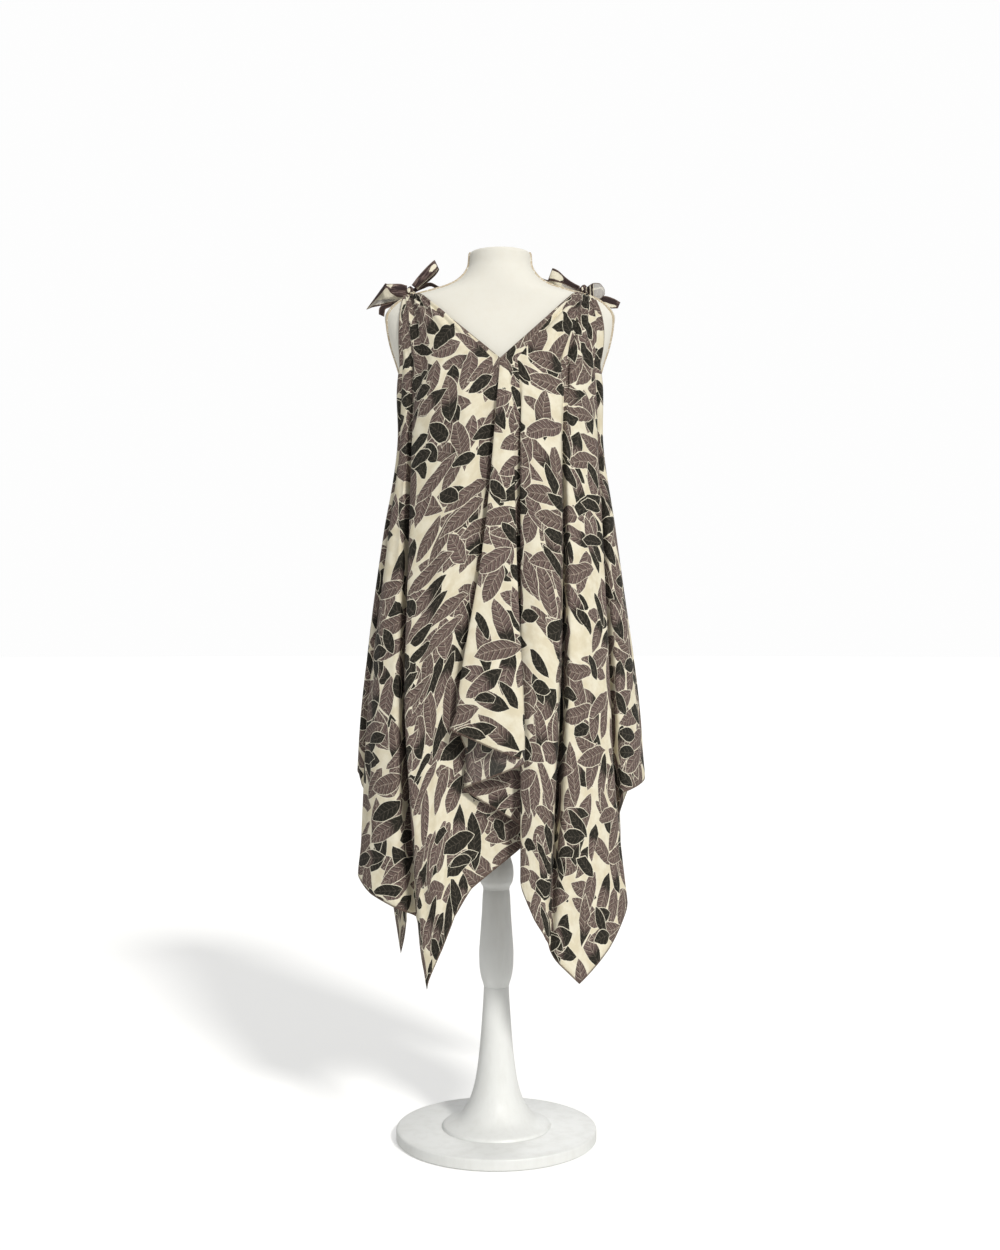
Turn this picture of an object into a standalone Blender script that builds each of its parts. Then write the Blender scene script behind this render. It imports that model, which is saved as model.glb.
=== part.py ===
"""A handkerchief dress on a dress form: four squares of printed cloth, hung by one corner each from two
shoulder knots, sewn edge to edge below the neck and the armholes, so that their free corners make the points
of the hem. The form is a plain torso on a turned post and a round base.

Metres, +Z up, the front faces -Y, and the origin is the middle of the base's underside.
"""

from collections import namedtuple
import math

import bmesh
import bpy
import numpy as np
from mathutils import Vector

MM = 0.001

# ---------------------------------------------------------------- driving sizes
KNOT_HEIGHT = 1.396  # where the panels' gathered corners meet the knots, above the floor
CLOTH = 0.0016  # thickness of the cloth's wall
SEAM_GAP = 0.0004  # between panels along a seam
SEAT_GAP = 0.0005  # between a knot and what it rests on or holds
LEFT_KNOT_X = -0.1485
RIGHT_KNOT_X = 0.1380
KNOT_HALF = Vector((0.0068, 0.0104, 0.0090))  # half sizes of a knot
FORM_GAP = 0.0040  # least gap between the points of the cloth and the form
NECK_TOP = 1.470
TORSO_BOTTOM = 0.695
TORSO_SIDES = 40
STAND_SIDES = 28
SHOULDER_TIP = 1.352  # the height at which the torso is widest
FOLD_ROUNDING = 0.0065  # of a fold, a metre below the knot
GATHER_WIDTH, GATHER_DEPTH = 0.014, 0.003  # of a panel's corner where it enters the knot
GATHER_EASE_X = (1.0, 0.8, 0.6)  # how soon the cloth spreads below the knot: at the neck edge, between, at the side
GATHER_EASE_Y = (0.55, 0.34, 0.30)
ROWS, CHEST_ROWS = 20, 6  # of points down a panel, and of those above the chest
CHEST_SPACING = 1.7  # those rows crowd towards the knot by this power
SECTIONS = 80  # level sections worked out for each panel
POINTS_PER_FOLD = 2  # columns of points between two fold lines
LOOP_SEAT = 0.6  # mm from the knot to the middle of a loop's wall
TEARDROP = 1.3  # makes sin(t) sin(t/2) reach 1 where a loop is widest
LOOP_ROOT = 2.6  # mm from a loop's middle to each layer at the knot
STAND_GAP = 0.0003  # between the torso and the pieces of the stand
STAND_X = -0.006  # the post stands a little to the left of the torso's middle

# Drops below the knots at which the hang of the cloth is given.
CHEST, BUST, WAIST, SKIRT, POINT = 0.127, 0.228, 0.401, 0.735, 1.115

# The outline that the folds hang inside, seen from above: an oval at each drop.
Outline = namedtuple("Outline", "drop half_width front back")
OUTLINES = (
    Outline(CHEST, 0.175, 0.108, 0.106),
    Outline(BUST, 0.169, 0.134, 0.112),
    Outline(WAIST, 0.192, 0.147, 0.130),
    Outline(SKIRT, 0.235, 0.185, 0.170),
    Outline(POINT, 0.250, 0.185, 0.176),
)

# A fold line runs from the knot to the hem. Its angle round the outline (degrees from the middle of the front,
# or of the back, towards the side) and its tuck behind the outline (mm) are given at the drops above, and its
# hem is the drop (mm) at which the cloth ends. Lines are listed from the middle to the side seam.
Fold = namedtuple(
    "Fold",
    "name chest bust waist skirt point tuck_chest tuck_waist tuck_skirt tuck_point hem",
)
FRONT_RIGHT = (
    Fold("centre seam", 0.0, -2.2, -6.3, -16.3, -16.0, 1, 7, 10, 10, 715),
    Fold("drape left edge", 0.6, -3.0, -7.9, -18.3, -18.0, 0, 0, 0, 0, 712),
    Fold("drape middle", 2.0, 2.6, 0.5, -4.0, -4.0, -1, -2, -4, -4, 738),
    Fold("drape right edge", 3.6, 8.3, 8.4, 10.6, 11.0, 0, 1, 2, 2, 762),
    Fold("drape return", 5.5, 4.0, -2.4, -14.4, -14.6, 3, 9, 15, 15, 806),
    Fold("drape inside", 9.0, 12.5, 13.5, 17.0, 17.0, 5, 21, 33, 30, 872),
    Fold("inner edge", 12.0, 10.5, 8.8, 7.2, 6.2, 2, 10, 18, 12, 945),
    Fold("inner face", 20.0, 19.0, 17.5, 14.5, 11.5, -1, 0, 3, 2, 1003),
    Fold("slit near lip", 33.0, 32.0, 27.5, 20.5, 14.8, 0, 1, 2, 0, 1034),
    Fold("slit bottom", 36.5, 35.5, 30.6, 23.3, 17.2, 5, 30, 55, 8, 1054),
    Fold("slit far lip", 40.0, 39.0, 34.0, 26.0, 19.5, 0, 1, 2, 0, 1068),
    Fold("point", 48.0, 47.0, 42.4, 32.6, 28.7, -1, -1, -2, -2, 1104),
    Fold("outer face", 54.0, 54.0, 50.0, 42.0, 43.0, 0, -1, -2, -2, 1055),
    Fold("outer edge", 58.0, 62.0, 58.0, 51.5, 60.5, 0, 0, 0, 0, 990),
    Fold("side tuck", 61.0, 67.0, 62.5, 56.0, 64.0, 4, 34, 62, 50, 900),
    Fold("side lip", 64.0, 74.0, 68.0, 62.0, 68.0, 0, 4, 7, 7, 815),
    Fold("side face", 66.5, 82.0, 79.0, 76.0, 78.0, -1, -1, -1, -1, 802),
    Fold("side seam", 69.0, 90.0, 90.0, 92.0, 92.0, 0, 1, 2, 2, 790),
)
FRONT_LEFT = (
    Fold("centre seam", 0.0, -2.2, -6.3, -16.3, -16.0, 1, 7, 10, 10, 715),
    Fold("under drop", -1.2, -2.4, -5.0, -13.0, -12.0, 3, 19, 27, 24, 745),
    Fold("under turn", -2.5, 0.3, 3.5, 6.5, 7.0, 4, 30, 48, 40, 850),
    Fold("inner turn", -4.0, -1.2, 2.5, 5.5, 5.5, 4, 38, 58, 46, 903),
    Fold("inner slope", -6.0, -5.5, -4.5, -13.0, -8.0, 3, 29, 44, 22, 960),
    Fold("inner lip", -9.0, -10.0, -13.0, -23.0, -13.0, 1, 5, 12, 5, 1000),
    Fold("inner face", -22.0, -22.0, -26.0, -29.0, -19.0, -1, -1, 0, 0, 1050),
    Fold("point edge", -44.0, -46.0, -45.0, -35.3, -28.2, 0, 0, 0, 0, 1115),
    Fold("slit bottom", -47.5, -50.0, -49.5, -37.2, -31.0, 9, 36, 60, 40, 1010),
    Fold("slit far lip", -51.0, -54.0, -53.5, -41.0, -40.0, 1, 2, 4, 6, 995),
    Fold("outer face", -56.0, -61.0, -61.0, -54.0, -55.0, -1, -1, -2, -2, 975),
    Fold("outer edge", -60.0, -68.0, -70.0, -68.0, -69.0, 0, 0, 0, 0, 948),
    Fold("side tuck", -62.0, -73.0, -74.5, -73.0, -74.0, 3, 30, 58, 50, 870),
    Fold("side lip", -64.5, -80.0, -81.0, -82.0, -82.0, 0, 3, 4, 4, 803),
    Fold("side seam", -69.0, -90.0, -90.0, -92.0, -92.0, 0, 1, 2, 2, 790),
)
BACK = (
    Fold("centre seam", 0.0, 0.0, 0.0, 0.0, 0.0, 1, 3, 4, 4, 720),
    Fold("first ridge", 6.0, 7.0, 9.0, 10.0, 10.0, -1, 0, 0, 0, 745),
    Fold("first tuck", 10.0, 12.0, 14.0, 15.0, 15.0, 4, 26, 52, 50, 790),
    Fold("second ridge", 14.0, 17.0, 19.0, 20.0, 20.0, 0, 0, 0, 0, 830),
    Fold("second face", 22.0, 25.0, 27.0, 28.0, 27.0, -1, -1, -2, -2, 880),
    Fold("third ridge", 30.0, 33.0, 35.0, 35.5, 33.0, 0, 0, 0, 0, 930),
    Fold("third tuck", 34.0, 37.0, 39.0, 39.0, 36.0, 6, 32, 62, 55, 990),
    Fold("point lip", 38.0, 41.0, 43.0, 42.5, 39.0, 0, 0, 3, 3, 1050),
    Fold("point", 46.0, 49.0, 52.0, 47.0, 43.8, -1, -1, 0, 0, 1118),
    Fold("outer face", 53.0, 58.0, 58.0, 50.5, 47.8, 0, -1, -2, -2, 1022),
    Fold("outer edge", 58.0, 66.0, 65.0, 58.0, 58.0, 0, 0, 0, 0, 965),
    Fold("side tuck", 61.0, 71.0, 70.5, 65.0, 64.0, 4, 30, 56, 50, 870),
    Fold("side lip", 64.0, 77.0, 76.0, 73.0, 73.0, 0, 2, 4, 4, 802),
    Fold("side seam", 69.0, 90.0, 90.0, 88.0, 88.0, 0, 1, 2, 2, 790),
)

# The torso's rings: height, half width, front and back depth.
Ring = namedtuple("Ring", "height half_width front back")
TORSO = (
    Ring(TORSO_BOTTOM, 0.138, 0.086, 0.094),
    Ring(0.700, 0.148, 0.095, 0.103),
    Ring(0.715, 0.156, 0.101, 0.109),
    Ring(0.750, 0.161, 0.104, 0.113),
    Ring(0.820, 0.162, 0.104, 0.114),
    Ring(0.880, 0.152, 0.099, 0.108),
    Ring(0.950, 0.133, 0.094, 0.092),
    Ring(1.010, 0.120, 0.088, 0.077),
    Ring(1.060, 0.124, 0.093, 0.077),
    Ring(1.110, 0.136, 0.105, 0.082),
    Ring(1.160, 0.147, 0.113, 0.086),
    Ring(1.200, 0.151, 0.110, 0.090),
    Ring(1.240, 0.160, 0.100, 0.093),
    Ring(1.275, 0.170, 0.092, 0.092),
    Ring(1.305, 0.180, 0.083, 0.088),
    Ring(1.333, 0.187, 0.074, 0.083),
    Ring(1.352, 0.190, 0.066, 0.076),
    Ring(1.366, 0.184, 0.060, 0.070),
    Ring(1.377, 0.172, 0.058, 0.068),
    Ring(1.386, 0.150, 0.058, 0.069),
    Ring(1.393, 0.122, 0.060, 0.071),
    Ring(1.401, 0.094, 0.061, 0.072),
    Ring(1.411, 0.073, 0.059, 0.069),
    Ring(1.424, 0.059, 0.056, 0.063),
    Ring(1.442, 0.052, 0.053, 0.057),
    Ring(NECK_TOP - 0.004, 0.051, 0.052, 0.054),
    Ring(NECK_TOP, 0.048, 0.049, 0.051),
)

# The stand's turned pieces: the radius and height of each ring from top to bottom.
STAND = (
    ("form_knob", (
        (0.045, TORSO_BOTTOM - STAND_GAP), (0.045, 0.686), (0.030, 0.676), (0.019, 0.640), (0.017, 0.560),
        (0.018, 0.480), (0.024, 0.462), (0.028, 0.446), (0.0285, 0.436), (0.027, 0.424), (0.0225, 0.415),
        (0.0215, 0.4103),
    )),
    ("form_post", (
        (0.0215, 0.410), (0.0225, 0.402), (0.0240, 0.372), (0.0265, 0.336), (0.0284, 0.306), (0.0280, 0.286),
        (0.0255, 0.268), (0.0220, 0.256), (0.0206, 0.2503),
    )),
    ("form_pedestal", (
        (0.0206, 0.250), (0.0214, 0.232), (0.0235, 0.200), (0.0275, 0.150), (0.034, 0.100), (0.046, 0.060),
        (0.064, 0.036), (0.088, 0.0243), (0.090, 0.0203),
    )),
    ("form_base", (
        (0.160, 0.020), (0.164, 0.0185), (0.165, 0.016), (0.165, 0.003), (0.162, 0.0),
    )),
)

# The ties' loops and ends. Places are mm from the knot's middle, x to the photo's right and z up. A loop's two
# layers lie in front of and behind its middle depth (y, mm), by up to half its opening.
Loop = namedtuple("Loop", "name knot_x end_x end_z half_x half_z root_half depth opening")
LOOPS = (
    Loop("left_loop_wide", LEFT_KNOT_X, -56, -12, -15, -21, 5, -1, 13),
    Loop("left_loop_up", LEFT_KNOT_X, 43, 39, 4, -8, 5, -1, 9),
    Loop("right_loop_inner", RIGHT_KNOT_X, -55, 28, -3, -11, 5, -1, 12),
    Loop("right_loop_outer", RIGHT_KNOT_X, 34, -1, 1, -11, 5, -3, 9),
)
# An end runs from its knot through three places to its tip (mm from the knot's middle); depth is its y.
Tail = namedtuple("Tail", "name knot_x x1 z1 x2 z2 x3 z3 x4 z4 depth half_width flat")
TAILS = (
    Tail("left_tail", LEFT_KNOT_X, -7.2, -9.0, -26, -19.0, -43, -28.5, -50, -44, 0, 6, True),
    Tail("right_tail", RIGHT_KNOT_X, 5.4, -3, 25, -9, 44, -14, 61, -21, 7, 4, False),
)

COLOURS = {
    "cloth": ((0.36, 0.29, 0.28), 0.85),
    "jersey": ((0.80, 0.78, 0.71), 0.9),
    "paint": ((0.70, 0.70, 0.68), 0.45),
}


# ---------------------------------------------------------------- helpers
def material(name):
    made = bpy.data.materials.get(name)
    if made:
        return made
    made = bpy.data.materials.new(name)
    made.use_nodes = True
    shader = made.node_tree.nodes["Principled BSDF"]
    colour, roughness = COLOURS[name]
    shader.inputs["Base Color"].default_value = (*colour, 1.0)
    shader.inputs["Roughness"].default_value = roughness
    shader.inputs["Metallic"].default_value = 0.0
    return made


def object_of(bm, name, colour, collection):
    mesh = bpy.data.meshes.new(name)
    bm.to_mesh(mesh)
    bm.free()
    mesh.shade_smooth()
    made = bpy.data.objects.new(name, mesh)
    made.data.materials.append(material(colour))
    collection.objects.link(made)
    return made


def eased(at, stations, values):
    """A smooth curve through values at rising stations that never overshoots them."""
    x, y = np.asarray(stations, float), np.asarray(values, float)
    step = np.diff(x)
    slope = np.diff(y) / step
    before, after = slope[:-1], slope[1:]
    same_way = before * after > 0
    total = np.where(same_way, before + after, 1.0)
    tangent = np.empty_like(y)
    tangent[1:-1] = np.where(same_way, 2 * before * after / total, 0.0)
    tangent[0], tangent[-1] = slope[0], slope[-1]
    k = np.clip(np.searchsorted(x, at) - 1, 0, len(step) - 1)
    t = np.clip((np.asarray(at) - x[k]) / step[k], 0.0, 1.0)
    return (
        y[k] * (1 + 2 * t) * (1 - t) ** 2
        + tangent[k] * step[k] * t * (1 - t) ** 2
        + y[k + 1] * t * t * (3 - 2 * t)
        + tangent[k + 1] * step[k] * t * t * (t - 1)
    )


# ---------------------------------------------------------------- the cloth's hang
def outline_at(drop):
    stations = [o.drop for o in OUTLINES]
    return [
        eased(drop, stations, [getattr(o, column) for o in OUTLINES])
        for column in ("half_width", "front", "back")
    ]


def on_outline(angle, tuck, drop, faces_back):
    """Where a point lies in plan, at an angle round the outline and a tuck behind it."""
    half_width, front, back = outline_at(drop)
    turn = np.radians(angle)
    side, ahead = np.sin(turn), np.cos(turn)
    depth = np.where((ahead > 0) != faces_back, front, back)
    forward = 1.0 if faces_back else -1.0
    out_x, out_y = side / half_width, forward * ahead / depth
    length = np.hypot(out_x, out_y)
    return np.stack(
        (
            half_width * side - tuck * out_x / length,
            forward * depth * ahead - tuck * out_y / length,
        ),
        axis=-1,
    )


def section(folds, drop, columns, faces_back, rounding):
    """One level section through a panel: its fold lines joined in plan, with every bend rounded off."""
    angle_stations = (CHEST, BUST, WAIST, SKIRT, POINT)
    tuck_stations = (CHEST, WAIST, SKIRT, POINT)
    angles = np.array(
        [
            eased(drop, angle_stations, (f.chest, f.bust, f.waist, f.skirt, f.point))
            for f in folds
        ]
    )
    tucks = MM * np.array(
        [
            eased(drop, tuck_stations, (f.tuck_chest, f.tuck_waist, f.tuck_skirt, f.tuck_point))
            for f in folds
        ]
    )
    corners = on_outline(angles, tucks, drop, faces_back)
    along = np.concatenate(([0], np.cumsum(np.hypot(*np.diff(corners, axis=0).T))))
    places = np.interp(columns, np.arange(len(folds)), along)
    reach = np.minimum(rounding, np.minimum(places, along[-1] - places))
    around = [places + step * reach for step in np.linspace(-1.0, 1.0, 6)]
    return np.mean(
        [
            on_outline(np.interp(at, along, angles), np.interp(at, along, tucks), drop, faces_back)
            for at in around
        ],
        axis=0,
    )


def panel_points(folds, knot_x, faces_back):
    """The panel's outer side as rows of points, from the gathered corner at the knot down to the hem."""
    columns = np.linspace(0, len(folds) - 1, (len(folds) - 1) * POINTS_PER_FOLD + 1)
    across = columns / columns[-1]
    hem = MM * np.interp(columns, np.arange(len(folds)), [f.hem for f in folds])
    drops = np.linspace(CHEST, max(hem), SECTIONS)
    plan = np.array(
        [section(folds, d, columns, faces_back, FOLD_ROUNDING * (0.5 + d)) for d in drops]
    )

    side = 1.0 if knot_x > 0 else -1.0
    forward = 1.0 if faces_back else -1.0
    start_x = knot_x + side * (across - 0.5) * GATHER_WIDTH
    start_y = forward * (KNOT_HALF.y + SEAT_GAP + CLOTH + GATHER_DEPTH * np.sin(math.pi * across))
    ease_x = np.interp(across, (0.0, 0.4, 1.0), GATHER_EASE_X)
    ease_y = np.interp(across, (0.0, 0.5, 1.0), GATHER_EASE_Y)

    grid = []
    for row in range(ROWS + 1):
        if row < CHEST_ROWS:
            share = (row / CHEST_ROWS) ** CHEST_SPACING
            x = start_x + (plan[0, :, 0] - start_x) * share**ease_x
            y = start_y + (plan[0, :, 1] - start_y) * share**ease_y
            z = np.full(len(columns), KNOT_HEIGHT - CHEST * share)
        else:
            drop = CHEST + (hem - CHEST) * (row - CHEST_ROWS) / (ROWS - CHEST_ROWS)
            x, y = (
                np.array([np.interp(d, drops, plan[:, c, axis]) for c, d in enumerate(drop)])
                for axis in (0, 1)
            )
            z = KNOT_HEIGHT - drop
        grid.append(np.stack((x, y, z), axis=-1))
    return np.array(grid)


def mirrored(folds):
    columns = ("chest", "bust", "waist", "skirt", "point")
    return tuple(f._replace(**{column: -getattr(f, column) for column in columns}) for f in folds)


def keep_off_form(points):
    """Moves the cloth out, level by level, wherever its inner side would come closer to the form than it may."""
    heights = [ring.height for ring in TORSO]
    gap = CLOTH + FORM_GAP
    z = points[..., 2]
    inside_torso = (z > heights[0] - gap) & (z < heights[-1])
    half_width, front, back = (
        np.interp(z, heights, [getattr(ring, column) for ring in TORSO]) + gap
        for column in ("half_width", "front", "back")
    )
    depth = np.where(points[..., 1] > 0, back, front)
    reach = np.hypot(points[..., 0] / half_width, points[..., 1] / depth)
    grow = np.where(inside_torso & (reach < 1.0), 1.0 / np.maximum(reach, 0.2), 1.0)
    points[..., 0] *= grow
    points[..., 1] *= grow
    return points


def unit(vectors):
    return vectors / np.linalg.norm(vectors, axis=-1, keepdims=True)


def outward(points, knot_x, faces_back):
    """The normal at each point of a panel, towards the outside of the dress."""
    across, down = np.gradient(points, axis=1), np.gradient(points, axis=0)
    sign = 1.0 if (knot_x > 0) == faces_back else -1.0
    return unit(sign * np.cross(across, down))


def sew(first, second, edge, seam_top):
    """Parts two panels along their common edge by the seam's gap, and gives both the same normal there."""
    inner = 1 if edge == 0 else -2
    rows = slice(int(np.argmax(first.points[:, edge, 2] <= seam_top)), None)
    ways = [unit(p.points[rows, inner] - p.points[rows, edge]) for p in (first, second)]
    apart = unit(ways[0] - ways[1]) * SEAM_GAP / 2
    normal = unit(first.normals[rows, edge] + second.normals[rows, edge])
    for panel, sign in ((first, 1.0), (second, -1.0)):
        panel.normals[rows, edge] = normal
        panel.points[rows, edge] += sign * apart


def cloth_wall(name, panel, collection):
    """A closed wall: a grid laid on the panel's outer points, extruded to its inner ones."""
    outer, inner = panel.points, panel.points - panel.normals * CLOTH
    height, width = outer.shape[:2]
    bm = bmesh.new()
    bmesh.ops.create_grid(bm, x_segments=width - 1, y_segments=height - 1, size=1.0)
    place = bm.verts.layers.int.new("place")
    for vertex in bm.verts:
        column = round((vertex.co.x + 1) / 2 * (width - 1))
        row = round((1 - vertex.co.y) / 2 * (height - 1))
        vertex[place] = row * width + column
        vertex.co = outer[row, column]
    walls = bmesh.ops.extrude_face_region(bm, geom=bm.faces[:], use_keep_orig=True)["geom"]
    for vertex in walls:
        if isinstance(vertex, bmesh.types.BMVert):
            vertex.co = inner[divmod(vertex[place], width)]
    bmesh.ops.recalc_face_normals(bm, faces=bm.faces)
    return object_of(bm, name, "cloth", collection)


def dress(collection):
    Panel = namedtuple("Panel", "points normals")
    panels = {}
    for name, folds, knot_x, faces_back in (
        ("front_left_panel", FRONT_LEFT, LEFT_KNOT_X, False),
        ("front_right_panel", FRONT_RIGHT, RIGHT_KNOT_X, False),
        ("back_left_panel", mirrored(BACK), LEFT_KNOT_X, True),
        ("back_right_panel", BACK, RIGHT_KNOT_X, True),
    ):
        points = keep_off_form(panel_points(folds, knot_x, faces_back))
        panels[name] = Panel(points, outward(points, knot_x, faces_back))
    for first, second, edge, seam_top in (
        ("front_left_panel", "front_right_panel", 0, CHEST),
        ("back_left_panel", "back_right_panel", 0, CHEST),
        ("front_left_panel", "back_left_panel", -1, BUST),
        ("front_right_panel", "back_right_panel", -1, BUST),
    ):
        sew(panels[first], panels[second], edge, KNOT_HEIGHT - seam_top + MM)
    for name, panel in panels.items():
        cloth_wall(name, panel, collection)


# ---------------------------------------------------------------- the knots, loops and ends
def knot_middle(knot_x):
    """A knot sits on the shoulder: the torso's rings narrow upwards there, from the shoulder's tip to the neck."""
    slope = [ring for ring in TORSO if ring.height >= SHOULDER_TIP]
    shoulder = np.interp(-abs(knot_x), [-r.half_width for r in slope], [r.height for r in slope])
    return Vector((knot_x, 0.0, shoulder + SEAT_GAP + KNOT_HALF.z))


def tie_knot(name, knot_x, collection):
    bm = bmesh.new()
    bmesh.ops.create_uvsphere(bm, u_segments=16, v_segments=10, radius=1.0)
    bmesh.ops.scale(bm, vec=KNOT_HALF, verts=bm.verts)
    made = object_of(bm, name, "cloth", collection)
    made.location = knot_middle(knot_x)


def strip(name, middles, halves, collection):
    """A strip of cloth three points wide, from its middle line and the half-width vector at each place there."""
    bm = bmesh.new()
    rows = len(middles)
    bmesh.ops.create_grid(bm, x_segments=2, y_segments=rows - 1, size=1.0)
    for vertex in bm.verts:
        row = round((1 - vertex.co.y) / 2 * (rows - 1))
        side = round(vertex.co.x)
        vertex.co = middles[row] + halves[row] * side
    wall = object_of(bm, name, "cloth", collection).modifiers.new("wall", "SOLIDIFY")
    wall.thickness = CLOTH
    wall.offset = 0.0


def tie_loop(loop, collection):
    knot = knot_middle(loop.knot_x)
    end = Vector((loop.end_x, 0, loop.end_z))
    way = end.normalized()
    knot_reach = 1 / math.hypot(way.x / KNOT_HALF.x, way.z / KNOT_HALF.z)
    root = way * (knot_reach / MM + LOOP_SEAT)
    way = end - root
    across = Vector((way.z, 0, -way.x)).normalized()
    end_half = Vector((loop.half_x, 0, loop.half_z))
    if across.dot(end_half) < 0:
        across = -across
    middles, halves = [], []
    for turn in np.linspace(0, 2 * math.pi, 19):
        out = (1 - math.cos(turn)) / 2
        bulge = loop.opening / 2 * TEARDROP * math.sin(turn) * math.sin(turn / 2)
        apart = LOOP_ROOT * math.cos(turn / 2)
        place = root + way * out + Vector((0, loop.depth * out - bulge - apart, 0))
        middles.append(knot + place * MM)
        halves.append((across * loop.root_half).lerp(end_half, out**0.8) * MM)
    strip(loop.name, middles, halves, collection)


def tie_tail(tail, collection):
    knot = knot_middle(tail.knot_x)
    places = ((tail.x1, tail.z1), (tail.x2, tail.z2), (tail.x3, tail.z3), (tail.x4, tail.z4))
    middles, halves = [], []
    steps = np.linspace(0, 3, 10)
    for step in steps:
        x = eased(step, range(4), [place[0] for place in places])
        z = eased(step, range(4), [place[1] for place in places])
        middles.append(knot + Vector((x, tail.depth, z)) * MM)
        wide = tail.half_width * (0.7 + 0.3 * step / 3)
        halves.append(Vector((0, wide, 0) if tail.flat else (0, 0, wide)) * MM)
    strip(tail.name, middles, halves, collection)


def ties(collection):
    tie_knot("left_knot", LEFT_KNOT_X, collection)
    tie_knot("right_knot", RIGHT_KNOT_X, collection)
    for loop in LOOPS:
        tie_loop(loop, collection)
    for tail in TAILS:
        tie_tail(tail, collection)


# ---------------------------------------------------------------- the dress form
def torso(collection):
    bm = bmesh.new()
    below = None
    for level in TORSO:
        ring = bmesh.ops.create_circle(bm, segments=TORSO_SIDES, radius=1.0)["verts"]
        for vertex in ring:
            depth = level.back if vertex.co.y > 0 else level.front
            vertex.co = (level.half_width * vertex.co.x, depth * vertex.co.y, level.height)
        edges = list({e for v in ring for e in v.link_edges})
        if below:
            bmesh.ops.bridge_loops(bm, edges=below + edges)
        below = edges
    bmesh.ops.holes_fill(bm, edges=[e for e in bm.edges if e.is_boundary], sides=0)
    bmesh.ops.recalc_face_normals(bm, faces=bm.faces)
    return object_of(bm, "form_torso", "jersey", collection)


def turned(name, profile, collection):
    """A piece of the stand: (radius, height) pairs from top to bottom, turned about the post's axis."""
    bm = bmesh.new()
    corners = [bm.verts.new((radius, 0.0, height)) for radius, height in profile]
    for upper, lower in zip(corners, corners[1:]):
        bm.edges.new((upper, lower))
    made = object_of(bm, name, "paint", collection)
    made.location.x = STAND_X
    screw = made.modifiers.new("turned", "SCREW")
    screw.steps = screw.render_steps = STAND_SIDES
    screw.use_merge_vertices = True
    screw.merge_threshold = 0.0001
    screw.use_smooth_shade = True
    return made


def stand(collection):
    for name, rings in STAND:
        top, bottom = rings[0][1], rings[-1][1]
        turned(name, ((0.0, top), *rings, (0.0, bottom)), collection)


def main():
    for old in list(bpy.data.objects):
        bpy.data.objects.remove(old)
    collection = bpy.data.collections.new("handkerchief dress")
    bpy.context.scene.collection.children.link(collection)
    dress(collection)
    ties(collection)
    torso(collection)
    stand(collection)


main()
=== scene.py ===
import math

import bmesh
import bpy
import numpy as np
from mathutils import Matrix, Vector


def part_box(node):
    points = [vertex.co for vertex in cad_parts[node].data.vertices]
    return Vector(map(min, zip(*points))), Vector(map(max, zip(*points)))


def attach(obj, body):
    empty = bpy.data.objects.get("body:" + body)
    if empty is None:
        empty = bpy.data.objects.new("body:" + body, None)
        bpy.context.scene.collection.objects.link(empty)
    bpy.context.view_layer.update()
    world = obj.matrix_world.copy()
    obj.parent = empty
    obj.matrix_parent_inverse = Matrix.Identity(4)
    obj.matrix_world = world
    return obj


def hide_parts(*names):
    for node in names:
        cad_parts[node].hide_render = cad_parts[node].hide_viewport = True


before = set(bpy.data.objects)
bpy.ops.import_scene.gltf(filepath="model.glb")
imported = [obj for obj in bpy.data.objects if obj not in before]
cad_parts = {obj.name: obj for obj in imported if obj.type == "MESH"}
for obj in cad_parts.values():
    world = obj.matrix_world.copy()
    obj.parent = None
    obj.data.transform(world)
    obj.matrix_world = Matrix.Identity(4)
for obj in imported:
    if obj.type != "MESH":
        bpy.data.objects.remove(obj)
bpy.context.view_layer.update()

mm = 0.001

# The camera and the stage.
view = {
    "distance": 2.6,  # from the lens to the middle of the form
    "height": 0.846,
    "pixelSize": 0.00165,  # metres across one pixel at the form's middle
    "frameHeight": 1250,
    "sensor": 36,
    "farthest": 60,
}
stage = {
    "radius": 40.0,
    "sides": 96,
    "colour": (0.80, 0.80, 0.79),
    "roughness": 0.8,
    "sky": (1.0, 1.0, 1.0),
    "skyLight": 0.40,
    "skySeen": 0.985,
    "glow": 0.46,  # lifts the paper floor to the sky's white, for the camera alone
}
suns = [
    # name, place it shines from, aimed at, angle across it (degrees), strength, colour
    ("frontSun", (1.5, -2.9, 3.4), (0, 0, 0.95), 9, 2.3, (1.0, 0.985, 0.955)),
    ("sideSun", (-2.8, -1.6, 1.7), (0, 0, 0.9), 40, 0.10, (0.97, 0.985, 1.0)),
    ("backSun", (0.4, 3.0, 2.6), (0, 0, 1.1), 30, 0.5, (1.0, 1.0, 1.0)),
]


def addObject(name, data):
    made = bpy.data.objects.new(name, data)
    bpy.context.collection.objects.link(made)
    return made


def newObject(name, bm):
    mesh = bpy.data.meshes.new(name)
    bm.to_mesh(mesh)
    bm.free()
    mesh.shade_smooth()
    return addObject(name, mesh)


def easedCurve(at, stations, values):  # a smooth curve through the values that never overshoots them
    x, y = np.asarray(stations, float), np.asarray(values, float)
    step = np.diff(x)
    slope = np.diff(y) / step
    before, after = slope[:-1], slope[1:]
    sameWay = before * after > 0
    total = np.where(sameWay, before + after, 1.0)
    tangent = np.empty_like(y)
    tangent[1:-1] = np.where(sameWay, 2 * before * after / total, 0.0)
    tangent[0], tangent[-1] = slope[0], slope[-1]
    k = np.clip(np.searchsorted(x, at) - 1, 0, len(step) - 1)
    t = np.clip((np.asarray(at) - x[k]) / step[k], 0.0, 1.0)
    return (y[k] * (1 + 2 * t) * (1 - t) ** 2 + tangent[k] * step[k] * t * (1 - t) ** 2
            + y[k + 1] * t * t * (3 - 2 * t) + tangent[k + 1] * step[k] * t * t * (t - 1))


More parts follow.
